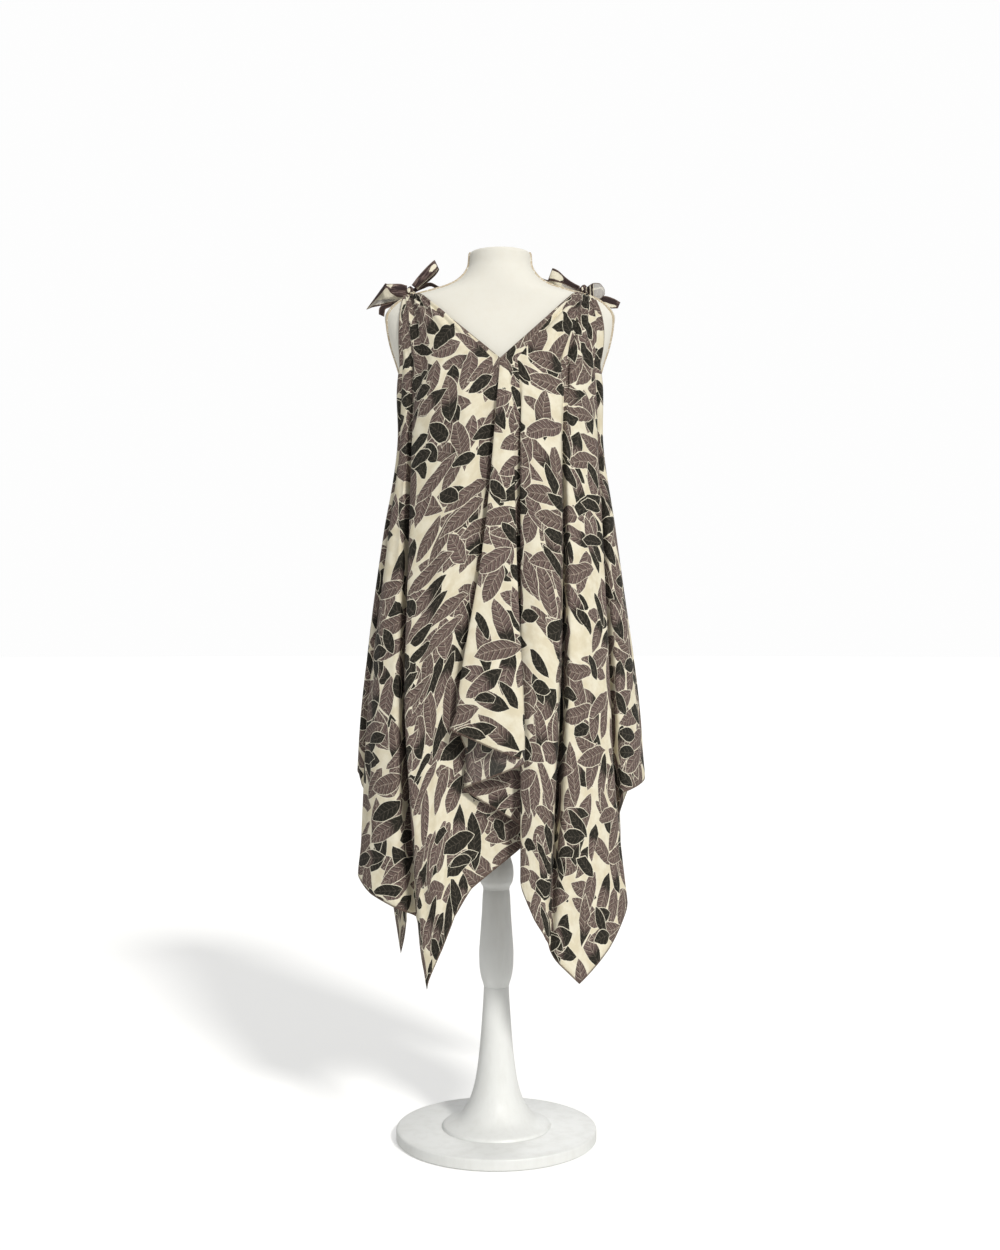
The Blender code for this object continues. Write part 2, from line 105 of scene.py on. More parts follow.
def easedRows(rows, steps):  # a table's columns, with this many steps from each row to the next
    at = np.linspace(0, len(rows) - 1, (len(rows) - 1) * steps + 1)
    return [easedCurve(at, range(len(rows)), column) for column in zip(*rows)]


def softStep(x, low, high):
    t = np.clip((x - low) / (high - low), 0.0, 1.0)
    return t * t * (3 - 2 * t)


class Shade:  # a value in a node tree, and the sums that a material does on it
    def __init__(self, socket):
        self.socket = socket
        self.isVector = socket.type != "VALUE"

    def __add__(self, other):
        return sums("ADD", self, other)

    def __sub__(self, other):
        return sums("SUBTRACT", self, other)

    def __mul__(self, other):
        return sums("MULTIPLY", self, other)

    def __truediv__(self, other):
        return sums("DIVIDE", self, other)

    def __pow__(self, other):
        return sums("POWER", self, other)

    def __rsub__(self, other):
        return sums("SUBTRACT", other, self)

    def __abs__(self):
        return sums("ABSOLUTE", self)


def fill(sockets, values):  # by name or by number
    for key, value in values.items() if isinstance(values, dict) else enumerate(values):
        if isinstance(value, Shade):
            value.socket.id_data.links.new(value.socket, sockets[key])
        elif isinstance(value, tuple):  # a colour gets its alpha
            sockets[key].default_value = (*value, 1)[:len(sockets[key].default_value)]
        else:
            sockets[key].default_value = value


def outputsOf(node):
    return {key: Shade(socket) for place, socket in enumerate(node.outputs) for key in (place, socket.name)}


def nodeOf(kind, given=(), tree=None, **settings):  # its outputs; its tree is that of what it is given
    values = given.values() if isinstance(given, dict) else given
    tree = tree or next(value.socket.id_data for value in values if isinstance(value, Shade))
    made = tree.nodes.new("ShaderNode" + kind)
    for name, value in settings.items():
        setattr(made, name, value)
    fill(made.inputs, given)
    return outputsOf(made)


def sums(operation, *values):
    vectors = any(isinstance(value, tuple) or getattr(value, "isVector", False) for value in values)
    return nodeOf("VectorMath" if vectors else "Math", values, operation=operation)[0]


def scaled(vector, amount):
    return nodeOf("VectorMath", {0: vector, "Scale": amount}, operation="SCALE")[0]


def rotated(vector, angle):
    return nodeOf("VectorRotate", {"Vector": vector, "Angle": angle}, rotation_type="Z_AXIS")[0]


def noiseOf(vector, scale, detail=2.0, roughness=0.5, output="Fac"):
    return nodeOf("TexNoise", {"Vector": vector, "Scale": scale, "Detail": detail, "Roughness": roughness})[output]


def spread(value, low, high, outLow=0.0, outHigh=1.0):
    return nodeOf("MapRange", (value, low, high, outLow, outHigh), interpolation_type="SMOOTHSTEP")[0]


def fades(value, low, high, strength=1.0):
    return spread(value, low, high, strength, 0.0)


def patches(vector, scale, detail, roughness, low, high, strength=1.0):  # noise, from none at low to all at high
    return spread(noiseOf(vector, scale, detail, roughness), low, high, 0.0, strength)


def blend(share, first, second):  # of two numbers or two colours
    if isinstance(second, float):
        return nodeOf("Mix", {0: share, 2: first, 3: second}, data_type="FLOAT")[0]
    return nodeOf("Mix", {0: share, 6: first, 7: second}, data_type="RGBA")[2]


def bumpOf(height, strength, distance):
    return nodeOf("Bump", {"Strength": strength, "Distance": distance, "Height": height})[0]


socketKinds = {"Cut": "Vector", "Place": "Vector", "Colour": "Color"}  # the others are numbers


def newGroup(name, inputs, outputs):
    tree = bpy.data.node_groups.new(name, "ShaderNodeTree")
    for end, names in (("INPUT", inputs), ("OUTPUT", outputs)):
        for socket in names:
            kind = "NodeSocket" + socketKinds.get(socket, "Float")
            tree.interface.new_socket(socket, in_out=end, socket_type=kind)
    return outputsOf(tree.nodes.new("NodeGroupInput")), tree.nodes.new("NodeGroupOutput").inputs


def useGroup(name, **values):
    return nodeOf("Group", values, node_tree=bpy.data.node_groups[name])


def newMaterial(name):
    made = bpy.data.materials.new(name)
    made.use_nodes = True
    return made, made.node_tree, made.node_tree.nodes["Principled BSDF"].inputs


def setCamera():
    data = bpy.data.cameras.new("camera")
    data.sensor_fit = "VERTICAL"
    data.sensor_height = view["sensor"]
    data.lens = view["sensor"] * view["distance"] / (view["frameHeight"] * view["pixelSize"])
    data.clip_end = view["farthest"]
    camera = addObject("camera", data)
    camera.location = (0, -view["distance"], view["height"])
    camera.rotation_euler = (math.radians(90), 0, 0)
    bpy.context.scene.camera = camera


def setStage():
    bm = bmesh.new()
    bmesh.ops.create_circle(bm, cap_ends=True, segments=stage["sides"], radius=stage["radius"])
    floor = newObject("floor", bm)
    paper, tree, shader = newMaterial("floorPaper")
    fill(shader, {"Base Color": stage["colour"], "Roughness": stage["roughness"], "Emission Color": stage["colour"],
                  "Emission Strength": nodeOf("LightPath", tree=tree)["Is Camera Ray"] * stage["glow"]})
    floor.data.materials.append(paper)
    world = bpy.data.worlds.new("studio")
    world.use_nodes = True
    seen = nodeOf("LightPath", tree=world.node_tree)["Is Camera Ray"]
    fill(world.node_tree.nodes["Background"].inputs,
         {"Color": stage["sky"], "Strength": blend(seen, stage["skyLight"], stage["skySeen"])})
    bpy.context.scene.world = world
    bpy.context.scene.view_settings.view_transform = "Standard"
    for name, place, aim, angle, strength, colour in suns:
        data = bpy.data.lights.new(name, "SUN")
        data.angle = math.radians(angle)
        data.energy = strength
        data.color = colour
        sun = addObject(name, data)
        sun.location = place
        sun.rotation_euler = (Vector(aim) - Vector(place)).to_track_quat("-Z", "Y").to_euler()


# The print: scattered veined leaves with rough cream edges, some of them near-black, on a cream ground
leafLayers = [
    # turn (degrees), cell length and width (m), share of cells with a leaf, seed, share wholly and partly near-black
    (22, 0.098, 0.034, 0.74, 3.1, 0.05, 0.40),
    (-68, 0.092, 0.033, 0.72, 11.7, 0.06, 0.36),
    (76, 0.104, 0.034, 0.56, 23.9, 0.05, 0.42),
    (-24, 0.094, 0.033, 0.50, 37.3, 0.08, 0.36),
    (52, 0.062, 0.026, 0.16, 51.7, 1.0, 0.0),
    (-7, 0.058, 0.027, 0.13, 67.9, 1.0, 0.0),
]
leafShape = {
    "length": 0.98,  # of its cell
    "width": 0.84,
    "lean": 0.60,  # radians, from one extreme to the other
    "smallest": 0.66,  # of the full length
    "sizeDraw": 17.0,  # draws a size from the number that says whether there is a leaf
    "stray": 0.72,  # how unevenly the cells lie
    "seedShift": (1.0, 0.37, 0.0),  # cells by which a seed of 1 moves a layer
    "bluntness": 2.4,
    "border": 0.0011,  # metres of bare cream round a leaf
    "cellGap": 0.0006,
    "blur": 0.0002,  # half the width of an ink's edge
    "rib": (0.0005, 0.0010),  # half widths, where it is whole and where it ends, as for the veins
    "veinPitch": 0.0094,
    "veinEdge": (0.00064, 0.00104),
    "veinSlant": 0.9,
    "lightVein": 0.00184,  # from a dark vein to the light one beside it
    "hatchPitch": 0.0023,
    "hatch": (0.10, 0.20, 0.40),  # of its pitch, where it is whole and where it ends, and its strength
    "darkTip": (0.10, 0.36),  # of the half length, from where it starts to where it is whole
    "lineStrength": (0.72, 0.14),  # of the light lines, on taupe and on near-black
    "wander": ((14, 0.012), (420, 0.0017)),  # scale and size of the noise that bends leaves and frays their edges
}
printPatches = {  # scale, detail, roughness, where they start to show in the noise and where they are whole
    "mottle": (38, 4.0, 0.6, 0.35, 0.65),
    "dryInk": (300, 4.0, 0.7, 0.32, 0.62),
    "wornInk": (160, 3.0, 0.65, 0.3, 0.7),
}
printColours = {
    "cream": (0.70, 0.63, 0.46),
    "creamPale": (0.80, 0.75, 0.60),
    "taupe": (0.142, 0.096, 0.088),
    "taupeBrown": (0.120, 0.083, 0.068),
    "taupeWorn": (0.1136, 0.0768, 0.0704),
    "taupeDeep": (0.034, 0.022, 0.022),
    "nearBlack": (0.015, 0.014, 0.010),
    "line": (0.47, 0.40, 0.32),
    # the wrong side's plain colour, which tone 2 also uses as the grey of painted cool shade on the bows' insides
    "wrongSide": (0.60, 0.59, 0.56),
    "rawEdge": (0.16, 0.11, 0.085),
}


def leafLayer():  # leaves at uneven places, each in its own cell
    given, put = newGroup(
        "leafLayer", ("Cut", "Turn", "Length", "Width", "Share", "Seed", "DarkShare", "TipShare"),
        ("Leaf", "Border", "Dark", "Vein", "Light", "Tone"))
    size = nodeOf("CombineXYZ", (given["Length"], given["Width"], 1.0))[0]
    cells = rotated(given["Cut"], given["Turn"]) / size + scaled(leafShape["seedShift"], given["Seed"])
    spots = {"Vector": cells, "Scale": 1.0, "Randomness": leafShape["stray"]}
    scatter, rim = (nodeOf("TexVoronoi", spots, voronoi_dimensions="2D", feature=feature)
                    for feature in ("F1", "DISTANCE_TO_EDGE"))
    draws = nodeOf("SeparateColor", (scatter["Color"],))
    lean = (draws[0] - 0.5) * leafShape["lean"]
    place = nodeOf("SeparateXYZ", (rotated((cells - scatter["Position"]) * size, lean),))
    fromRib = abs(place[1])
    shrink = blend(sums("FRACT", draws[1] * leafShape["sizeDraw"]), leafShape["smallest"], 1.0)
    along = place[0] / (given["Length"] * (leafShape["length"] / 2) * shrink)
    halfWidth = given["Width"] * (leafShape["width"] / 2)
    depth = (1.0 - abs(along) ** leafShape["bluntness"]) * halfWidth - fromRib
    depth = sums("MINIMUM", depth, rim["Distance"] * given["Width"] - leafShape["cellGap"])
    present = sums("LESS_THAN", draws[1], given["Share"])
    blur, border, pitch = leafShape["blur"], leafShape["border"], leafShape["veinPitch"]
    fromVein = sums("FRACT", (place[0] + fromRib * leafShape["veinSlant"]) / pitch) * pitch - pitch / 2
    hatch = sums("FRACT", (place[0] - place[1]) / leafShape["hatchPitch"])
    hatch = fades(abs(hatch - 0.5), *leafShape["hatch"])
    lines = sums("MAXIMUM", fades(fromRib, *leafShape["rib"]),
                 fades(abs(fromVein - leafShape["lightVein"]), *leafShape["veinEdge"]))
    tipped = sums("GREATER_THAN", draws[2], 1.0 - given["TipShare"])
    tip = spread(along + hatch * 0.5, *leafShape["darkTip"])
    fill(put, {
        "Leaf": present * spread(depth, -blur, blur),
        "Border": present * spread(depth, -border - blur, -border + blur),
        "Vein": fades(abs(fromVein), *leafShape["veinEdge"]),
        "Light": sums("MAXIMUM", lines, hatch),
        "Dark": sums("MAXIMUM", sums("LESS_THAN", draws[2], given["DarkShare"]), tipped * tip),
        "Tone": draws[0],
    })


def leafPrint():  # all the layers laid over the ground, the last on top
    given, put = newGroup("leafPrint", ("Cut",), ("Colour",))
    c = printColours
    cut = given["Cut"]
    for scale, amount in leafShape["wander"]:
        cut = cut + scaled(noiseOf(given["Cut"], scale, 2.0, 0.6, "Color") - (0.5, 0.5, 0.5), amount)
    mottle, dryInk, wornInk = (patches(given["Cut"], *noise) for noise in printPatches.values())
    colour = blend(mottle, c["cream"], c["creamPale"])
    for turn, length, width, share, seed, darkShare, tipShare in leafLayers:
        layer = useGroup("leafLayer", Cut=cut, Turn=math.radians(turn), Length=length, Width=width, Share=share,
                         Seed=seed, DarkShare=darkShare, TipShare=tipShare)
        ink = blend(wornInk, blend(layer["Tone"], c["taupe"], c["taupeBrown"]), c["taupeWorn"])
        leaf = blend(layer["Dark"], blend(layer["Vein"], ink, c["taupeDeep"]), c["nearBlack"])
        faint = layer["Light"] * dryInk * blend(layer["Dark"], *leafShape["lineStrength"])
        colour = blend(layer["Border"], colour, c["creamPale"])
        colour = blend(layer["Leaf"], colour, blend(faint, leaf, c["line"]))
    fill(put, {"Colour": colour})


clothLook = {
    "threadPitch": 0.00075,
    "threadHeight": 0.00006,
    "slubStretch": (1.0, 0.12, 1.0),
    "slubScale": 900,
    "slubs": (0.55, 0.80, 0.0, 0.12),  # in their noise, where they start and are whole, and their strengths there
    "wrongSide": 0.05,  # how far the wrong side turns to its plain colour
    "fray": (420, 3.0, 0.6),  # the noise at a tone's edges and in its streaks: scale, detail, roughness
    "frayStrength": 0.5,
    "streakStretch": (1.0, 0.14, 1.0),
    "deepStreaks": (0.40, 0.62),
    "lightStreaks": (0.30, 0.42, 0.5),  # the last is their strength
    "rawEdge": (0.0012, 0.0020, 0.75),  # metres from the edge, where it is whole and where it ends, strength
    "rawEdgeFray": 0.004,
    "stitches": 0.0045,
    "stitchWidth": (0.0002, 0.0007),
    "stitchDepth": 0.0004,
    "crumple": (60, 4.0, 0.55),
    "crumpleHeight": 0.0022,
    "bump": (0.6, 1.0),
    "surface": {"Roughness": 0.82, "Specular IOR Level": 0.16, "Sheen Weight": 0.04, "Sheen Roughness": 0.5},
}
toneEdges = {  # the values of bowTones between which a tone comes or goes, and its strengths if not 0 and 1
    "cream": (0.4, 0.6),
    "creamEnd": (1.2, 1.5),
    # tone 2: painted cool shade, greyed towards the wrong side's colour
    "paintedShade": (1.35, 1.65, 0.0, 0.6),
    "taupe": (-0.38, -0.26),
    "nearBlack": (-0.80, -0.62, 0.94),
}


def plainWeave():  # the height of a plain weave, and the slubs in its threads
    given, put = newGroup("plainWeave", ("Cut",), ("Height", "Slub"))
    place = nodeOf("SeparateXYZ", (given["Cut"],))
    across, down = (sums("SINE", place[k] * (2 * math.pi / clothLook["threadPitch"])) for k in (0, 1))
    fill(put, {"Height": across * down,
               "Slub": noiseOf(given["Cut"] * clothLook["slubStretch"], clothLook["slubScale"])})


def printedCloth(name, isWrongSide):
    made, tree, shader = newMaterial(name)
    c = printColours
    cut = nodeOf("UVMap", tree=tree, uv_map="cut")[0]
    weave = useGroup("plainWeave", Cut=cut)
    colour = useGroup("leafPrint", Cut=cut)["Colour"]
    colour = blend(spread(weave["Slub"], *clothLook["slubs"]), colour, c["line"])
    if isWrongSide:
        colour = blend(clothLook["wrongSide"], colour, c["wrongSide"])
    fray = (noiseOf(cut, *clothLook["fray"]) - 0.5) * clothLook["frayStrength"]
    tone = nodeOf("Attribute", tree=tree, attribute_name="tone")["Fac"] * (fray + 1.0)
    cream = spread(tone, *toneEdges["cream"]) * fades(tone, *toneEdges["creamEnd"])
    colour = blend(cream, colour, c["creamPale"])
    streaks = noiseOf(cut * clothLook["streakStretch"], *clothLook["fray"])
    ink = blend(spread(streaks, *clothLook["deepStreaks"]), c["taupe"], c["taupeDeep"])
    ink = blend(fades(streaks, *clothLook["lightStreaks"]), ink, c["line"])
    colour = blend(fades(tone, *toneEdges["taupe"]), colour, ink)
    colour = blend(fades(tone, *toneEdges["nearBlack"]), colour, c["taupeDeep"])
    # tone 2 greys the colour towards the wrong side's: painted cool shade on the bows' insides and loop ends
    colour = blend(spread(tone, *toneEdges["paintedShade"]), colour, c["wrongSide"])
    fromEdge = nodeOf("Attribute", tree=tree, attribute_name="edgeDistance")["Fac"]
    rawEdge = fades(fromEdge + fray * clothLook["rawEdgeFray"], *clothLook["rawEdge"])
    stitches = fades(abs(fromEdge - clothLook["stitches"]), *clothLook["stitchWidth"])
    crumple = noiseOf(cut, *clothLook["crumple"]) * clothLook["crumpleHeight"]
    height = weave["Height"] * clothLook["threadHeight"] + crumple - stitches * clothLook["stitchDepth"]
    fill(shader, {"Base Color": blend(rawEdge, colour, c["rawEdge"]),
                  "Normal": bumpOf(height, *clothLook["bump"]), **clothLook["surface"]})
    return made


# How the cloth hangs: fold lines that run from the knot to the hem, inside an outline seen from above
hang = {
    "knotHeight": 1.396,
    "knotX": {"left_knot": -0.1485, "right_knot": 0.1380},
    "knotReach": 0.0125,  # from a knot's middle to the cloth before and behind it
    "inKnot": 0.008,  # how far below the knot's middle the cloth leaves it
    "outOfKnot": (0.006, 0.012),  # how far below it the cloth reaches its depth
    "depthInKnot": 0.35,  # of that depth
    "sideBulge": {"left_knot": 0.004, "right_knot": 0.012},  # of the armhole edges
    "formGap": 0.0046,  # from the cloth's outer side to the form
    "forwardPush": (1.25, 1.31),  # heights between which the form's push turns from outward to straight forward
    "rounding": 0.0065,  # of a fold, for each metre below its start
    "roundingStart": 0.5,  # metres above the knot
    "roundingSteps": 9,
    "gatherWidth": 0.014,
    "gatherDepth": 0.003,
    "easeX": ((0.0, 0.4, 1.0), (1.0, 0.8, 0.6)),  # share across, and how soon the cloth spreads below the knot there
    "easeY": ((0.0, 0.5, 1.0), (0.55, 0.34, 0.30)),
    "columnsPerFold": 8,
    "levels": 150,
    "chestRows": 34,
    "lowerRows": 118,
    "chestSpacing": 1.7,
    "squareSide": 0.80,
    "straightBack": 0.85,  # how far a tuck turns from square to the outline to straight back
    "seamEase": 0.014,  # creases die out this near the panel's edges, so the seams stay closed
    "creasePower": 1.4,
    "gatherGain": 1.3,
    "gatherFull": 0.055,  # width of the cloth from which gathers have their full depth
    "gatherStart": 0.012,
    "gatherFade": 0.35,  # of its reach
    "hemPower": 1.5,
    "hemSlope": 1.2,  # the steepest that counts
    "hemNear": 0.6,  # of the distance to the hem, so its raw edge shows wider
}
thickness = 0.0007
panels = {
    # node, knot, on the back, square metres that show, where its print starts (m), fold lines where the print breaks
    "frontLeft": ("front_left_panel", "left_knot", False, 0.40, 1.07, (3, 8, 12)),
    "frontRight": ("front_right_panel", "right_knot", False, 0.46, 3.13, (5, 9, 14)),
    "backLeft": ("back_left_panel", "left_knot", True, 0.32, 7.39, (2, 6, 11)),
    "backRight": ("back_right_panel", "right_knot", True, 0.32, 5.21, (2, 6, 11)),
}
printStep = 0.37  # metres of print left out at each break
chest, bust, waist, skirt, point = 0.127, 0.228, 0.401, 0.735, 1.115  # drops below the knot, metres

outline = [  # drop, half width, front depth, back depth
    (chest, 0.175, 0.108, 0.106),
    (bust, 0.169, 0.134, 0.112),
    (waist, 0.192, 0.147, 0.13),
    (skirt, 0.235, 0.185, 0.17),
    (point, 0.25, 0.185, 0.176),
]

# A fold line: angles round the outline at the five drops (degrees), tucks behind it at four of them, without
# the bust (mm), and the drop at which the cloth ends (mm). From the centre seam to the side seam.
foldLines = {
    "frontRight": [
        ("centre seam", (0, -2.2, -6.3, -16.3, -16), (1, 7, 10, 10), 715),
        ("drape left edge", (0.6, -3, -7.9, -18.3, -18), (0, 0, 0, 0), 712),
        ("drape middle", (2, 2.6, 0.5, -4, -4), (-1, -2, -4, -4), 738),
        ("drape right edge", (3.6, 8.3, 8.4, 10.6, 11), (0, 1, 2, 2), 762),
        ("drape return", (5.5, 4, -2.4, -14.4, -14.6), (3, 14, 28, 28), 806),
        ("drape inside", (9, 12.5, 13.5, 17, 17), (5, 28, 50, 48), 884),
        ("inner edge", (12, 10.5, 8.8, 6.8, 6.2), (2, 10, 18, 12), 945),
        ("inner face", (20, 19, 17.5, 14.5, 11.5), (-1, 0, 3, 2), 1003),
        ("slit near lip", (36, 35, 31, 22.5, 14.8), (0, 1, 2, 0), 1034),
        ("slit bottom", (37.6, 36.8, 32.6, 24, 17.2), (5, 30, 55, 8), 1054),
        ("slit far lip", (39.5, 38.8, 34.2, 25.8, 19.5), (0, 1, 2, 0), 1068),
        ("point", (48, 47, 42.4, 32.6, 28.7), (-1, -1, -2, -2), 1104),
        ("outer face", (54, 54, 50, 42, 43), (0, -1, -2, -2), 1055),
        ("outer edge", (58, 70, 59.5, 49.5, 60.5), (0, 0, 0, 0), 990),
        ("side tuck", (61, 74, 62.5, 51.5, 64), (4, 34, 62, 50), 900),
        ("side lip", (64, 80, 66, 54.5, 68), (0, 2, 4, 7), 815),
        ("side face", (66.5, 85, 78, 74, 78), (-1, -1, -1, -1), 802),
        ("side seam", (69, 90, 90, 92, 92), (0, 1, 2, 2), 790),
    ],
    "frontLeft": [
        ("centre seam", (0, -2.2, -6.3, -16.3, -16), (1, 7, 10, 10), 715),
        ("under drop", (-1.2, -2.4, -5, -13, -12), (3, 19, 27, 24), 745),
        ("under turn", (-2.5, 0.3, 3.5, 9.6, 10), (4, 35, 62, 56), 862),
        ("inner turn", (-4, -1.2, 2.5, 9.4, 9.2), (4, 42, 70, 60), 898),
        ("inner slope", (-6, -5.5, -4.5, -13, -8), (3, 29, 44, 22), 960),
        ("inner lip", (-9, -10, -13, -23, -13), (1, 5, 12, 5), 1000),
        ("inner face", (-22, -22, -26, -29, -19), (-1, -1, 0, 0), 1050),
        ("point edge", (-52, -57, -49, -38.5, -28.2), (0, 0, 0, 0), 1115),
        ("slit bottom", (-54.5, -60.5, -52.5, -40.7, -31), (9, 36, 60, 40), 1010),
        ("slit far lip", (-57, -64, -56, -43.5, -40), (1, 2, 4, 6), 995),
        ("outer face", (-60, -69, -63, -55, -55), (-1, -1, -2, -2), 975),
        ("outer edge", (-62.5, -74, -71, -68, -69), (0, 0, 0, 0), 948),
        ("side tuck", (-64, -77.5, -75, -73, -74), (3, 30, 58, 50), 870),
        ("side lip", (-66, -82, -81, -82, -82), (0, 3, 4, 4), 803),
        ("side seam", (-69, -90, -90, -92, -92), (0, 1, 2, 2), 790),
    ],
    "backRight": [
        ("centre seam", (0, 0, 0, 0, 0), (1, 3, 4, 4), 720),
        ("first ridge", (6, 7, 9, 10, 10), (-1, 0, 0, 0), 745),
        ("first tuck", (10, 12, 14, 15, 15), (4, 26, 52, 50), 790),
        ("second ridge", (14, 17, 19, 20, 20), (0, 0, 0, 0), 830),
        ("second face", (22, 25, 27, 28, 27), (-1, -1, -2, -2), 880),
        ("third ridge", (30, 33, 35, 35.5, 33), (0, 0, 0, 0), 930),
        ("third tuck", (34, 37, 39, 39, 36), (6, 32, 62, 55), 990),
        ("point lip", (38, 41, 43, 42.5, 39), (0, 0, 3, 3), 1050),
        ("point", (46, 49, 52, 47, 43.8), (-1, -1, 0, 0), 1118),
        ("outer face", (53, 58, 58, 50.5, 47.8), (0, -1, -2, -2), 1022),
        ("outer edge", (58, 66, 65, 58, 58), (0, 0, 0, 0), 965),
        ("side tuck", (61, 71, 70.5, 65, 64), (4, 30, 56, 50), 870),
        ("side lip", (64, 77, 76, 73, 73), (0, 2, 4, 4), 802),
        ("side seam", (69, 90, 90, 88, 88), (0, 1, 2, 2), 790),
    ],
}
foldLines["backLeft"] = [
    (name, tuple(-angle for angle in angles), tucks, hem) for name, angles, tucks, hem in foldLines["backRight"]
]

# Soft creases laid over the folds: place (in fold lines from the centre), drop where it starts and ends, depth
# (mm, a ridge is positive), half width (mm) and lean (mm it drifts towards the side seam down its length).
creases = {
    "frontRight": [
        (7.4, 0.16, 0.52, 3.5, 8.1, 14), (8.2, 0.3, 0.86, -3.8, 7.2, -10), (6.6, 0.55, 0.9, 3.2, 7.2, 6),
        (10.6, 0.12, 0.42, -3.5, 6.3, 10), (11.3, 0.34, 0.8, 3.8, 9, -12), (12.2, 0.6, 1, -3.5, 8.1, 8),
        (11, 0.82, 1.08, 4.2, 7.2, -16), (12.6, 0.16, 0.5, 2.9, 7.2, 6), (2.2, 0.26, 0.6, -3.2, 5.4, -8),
        (2.6, 0.5, 0.74, 3.8, 5.4, 8), (7.8, 0.84, 1, -3.5, 7.2, 12), (15.6, 0.3, 0.66, 2.9, 8.1, 6),
        (16.3, 0.46, 0.78, -3.2, 7.2, -8), (10.9, 0.5, 0.7, -2.2, 5.4, 4), (9.2, 0.06, 0.2, -3.2, 4.5, 6),
    ],
    "frontLeft": [
        (5.6, 0.16, 0.46, 3.2, 7.2, -6), (6.3, 0.26, 0.74, -3.5, 8.1, 10), (6.8, 0.46, 1, 4.2, 9, -12),
        (5.8, 0.6, 0.94, -3.2, 7.2, 8), (6.6, 0.86, 1.08, -4.2, 7.2, -14), (9.6, 0.16, 0.52, -3.2, 7.2, 6),
        (10.2, 0.34, 0.8, 3.5, 9, -10), (10.7, 0.66, 0.94, -3.5, 7.2, 6), (13.4, 0.3, 0.62, 2.9, 7.2, 6),
        (6.1, 0.1, 0.28, -2.9, 5.4, -8), (6.5, 0.09, 0.3, 2.9, 5.4, 10), (4.6, 0.7, 0.98, 2.9, 6.3, 6),
    ],
    "backRight": [
        (4.2, 0.14, 0.52, 3.5, 8.1, 8), (3.6, 0.4, 0.86, -3.5, 7.2, -10), (7.6, 0.18, 0.6, -3.5, 8.1, 10),
        (8.4, 0.44, 1.02, 4.2, 9, -12), (9.4, 0.26, 0.72, -3.2, 7.2, 8), (9, 0.7, 1, 3.5, 7.2, -8),
        (12.5, 0.32, 0.66, 2.9, 7.2, 6), (0.6, 0.2, 0.56, 2.6, 6.3, 6), (4.6, 0.62, 0.88, 3.2, 7.2, 8),
    ],
    "backLeft": [
        (4.6, 0.16, 0.58, -3.5, 8.1, -8), (3.5, 0.34, 0.8, 3.5, 7.2, 8), (7.4, 0.24, 0.7, 3.2, 8.1, 8),
        (8.6, 0.38, 0.96, -4.2, 9, 10), (9.3, 0.3, 0.66, 3.2, 7.2, -8), (8.2, 0.74, 1.04, -3.5, 7.2, 10),
        (12.4, 0.4, 0.74, -2.9, 7.2, -6), (0.5, 0.26, 0.6, 2.6, 6.3, -6), (4.3, 0.66, 0.86, -2.9, 7.2, 6),
    ],
}

# Gathers that fan out below a knot: place (share of the way across), depth (mm), half width (share), reach (m).
gathers = {
    "frontRight": [
        (0.06, 3.2, 0.03, 0.11), (0.15, -4, 0.024, 0.14), (0.26, 2.4, 0.026, 0.12), (0.36, -3.2, 0.022, 0.15),
        (0.46, 2.4, 0.026, 0.12), (0.56, -5.5, 0.028, 0.32), (0.67, 2.6, 0.026, 0.14), (0.78, -4.2, 0.024, 0.2),
        (0.88, 2.2, 0.024, 0.12), (0.95, -2, 0.02, 0.1),
    ],
    "frontLeft": [
        (0.06, 3.4, 0.03, 0.1), (0.15, -4.6, 0.024, 0.14), (0.26, 2.6, 0.026, 0.12), (0.37, -3, 0.022, 0.12),
        (0.47, 2.6, 0.026, 0.16), (0.57, -2.8, 0.022, 0.13), (0.7, -6.5, 0.03, 0.32), (0.79, 2.6, 0.024, 0.14),
        (0.87, -3.4, 0.022, 0.18), (0.95, 1.8, 0.02, 0.1),
    ],
    "backRight": [
        (0.07, 2.6, 0.03, 0.1), (0.16, -3.6, 0.026, 0.13), (0.29, 3, 0.03, 0.14), (0.43, -4.6, 0.028, 0.26),
        (0.58, 2.8, 0.03, 0.12), (0.72, -3.8, 0.028, 0.2), (0.86, 2.6, 0.028, 0.11), (0.95, -2, 0.02, 0.09),
    ],
    "backLeft": [
        (0.06, 2.4, 0.028, 0.09), (0.15, -3.2, 0.024, 0.15), (0.27, 2.8, 0.028, 0.12), (0.4, -3.8, 0.028, 0.2),
        (0.55, 2.6, 0.03, 0.13), (0.69, -4.8, 0.03, 0.28), (0.84, 2.6, 0.026, 0.12), (0.94, -2.2, 0.02, 0.12),
    ],
}

# Where a hem turns up or swings out: place, half width (both in fold lines), how high it starts (m), how far (mm).
hemTurns = {
    "frontRight": [(0.9, 0.45, 0.035, 12), (3.6, 0.7, 0.05, -5), (7.6, 1, 0.07, 5), (11.2, 1.2, 0.07, 6),
                   (15.4, 1, 0.05, 4)],
    "frontLeft": [(5.6, 0.9, 0.06, 5), (7.2, 0.7, 0.05, -4), (10.3, 1, 0.06, 5), (13.2, 0.8, 0.05, -4)],
    "backRight": [(2.4, 0.9, 0.05, 4), (5.4, 0.9, 0.06, -4), (8.4, 1, 0.07, 5), (10.4, 0.8, 0.05, -4)],
    "backLeft": [(1.6, 0.9, 0.05, -4), (4.4, 0.9, 0.06, 5), (7.4, 1, 0.07, -5), (9.6, 0.9, 0.06, 5)],
}

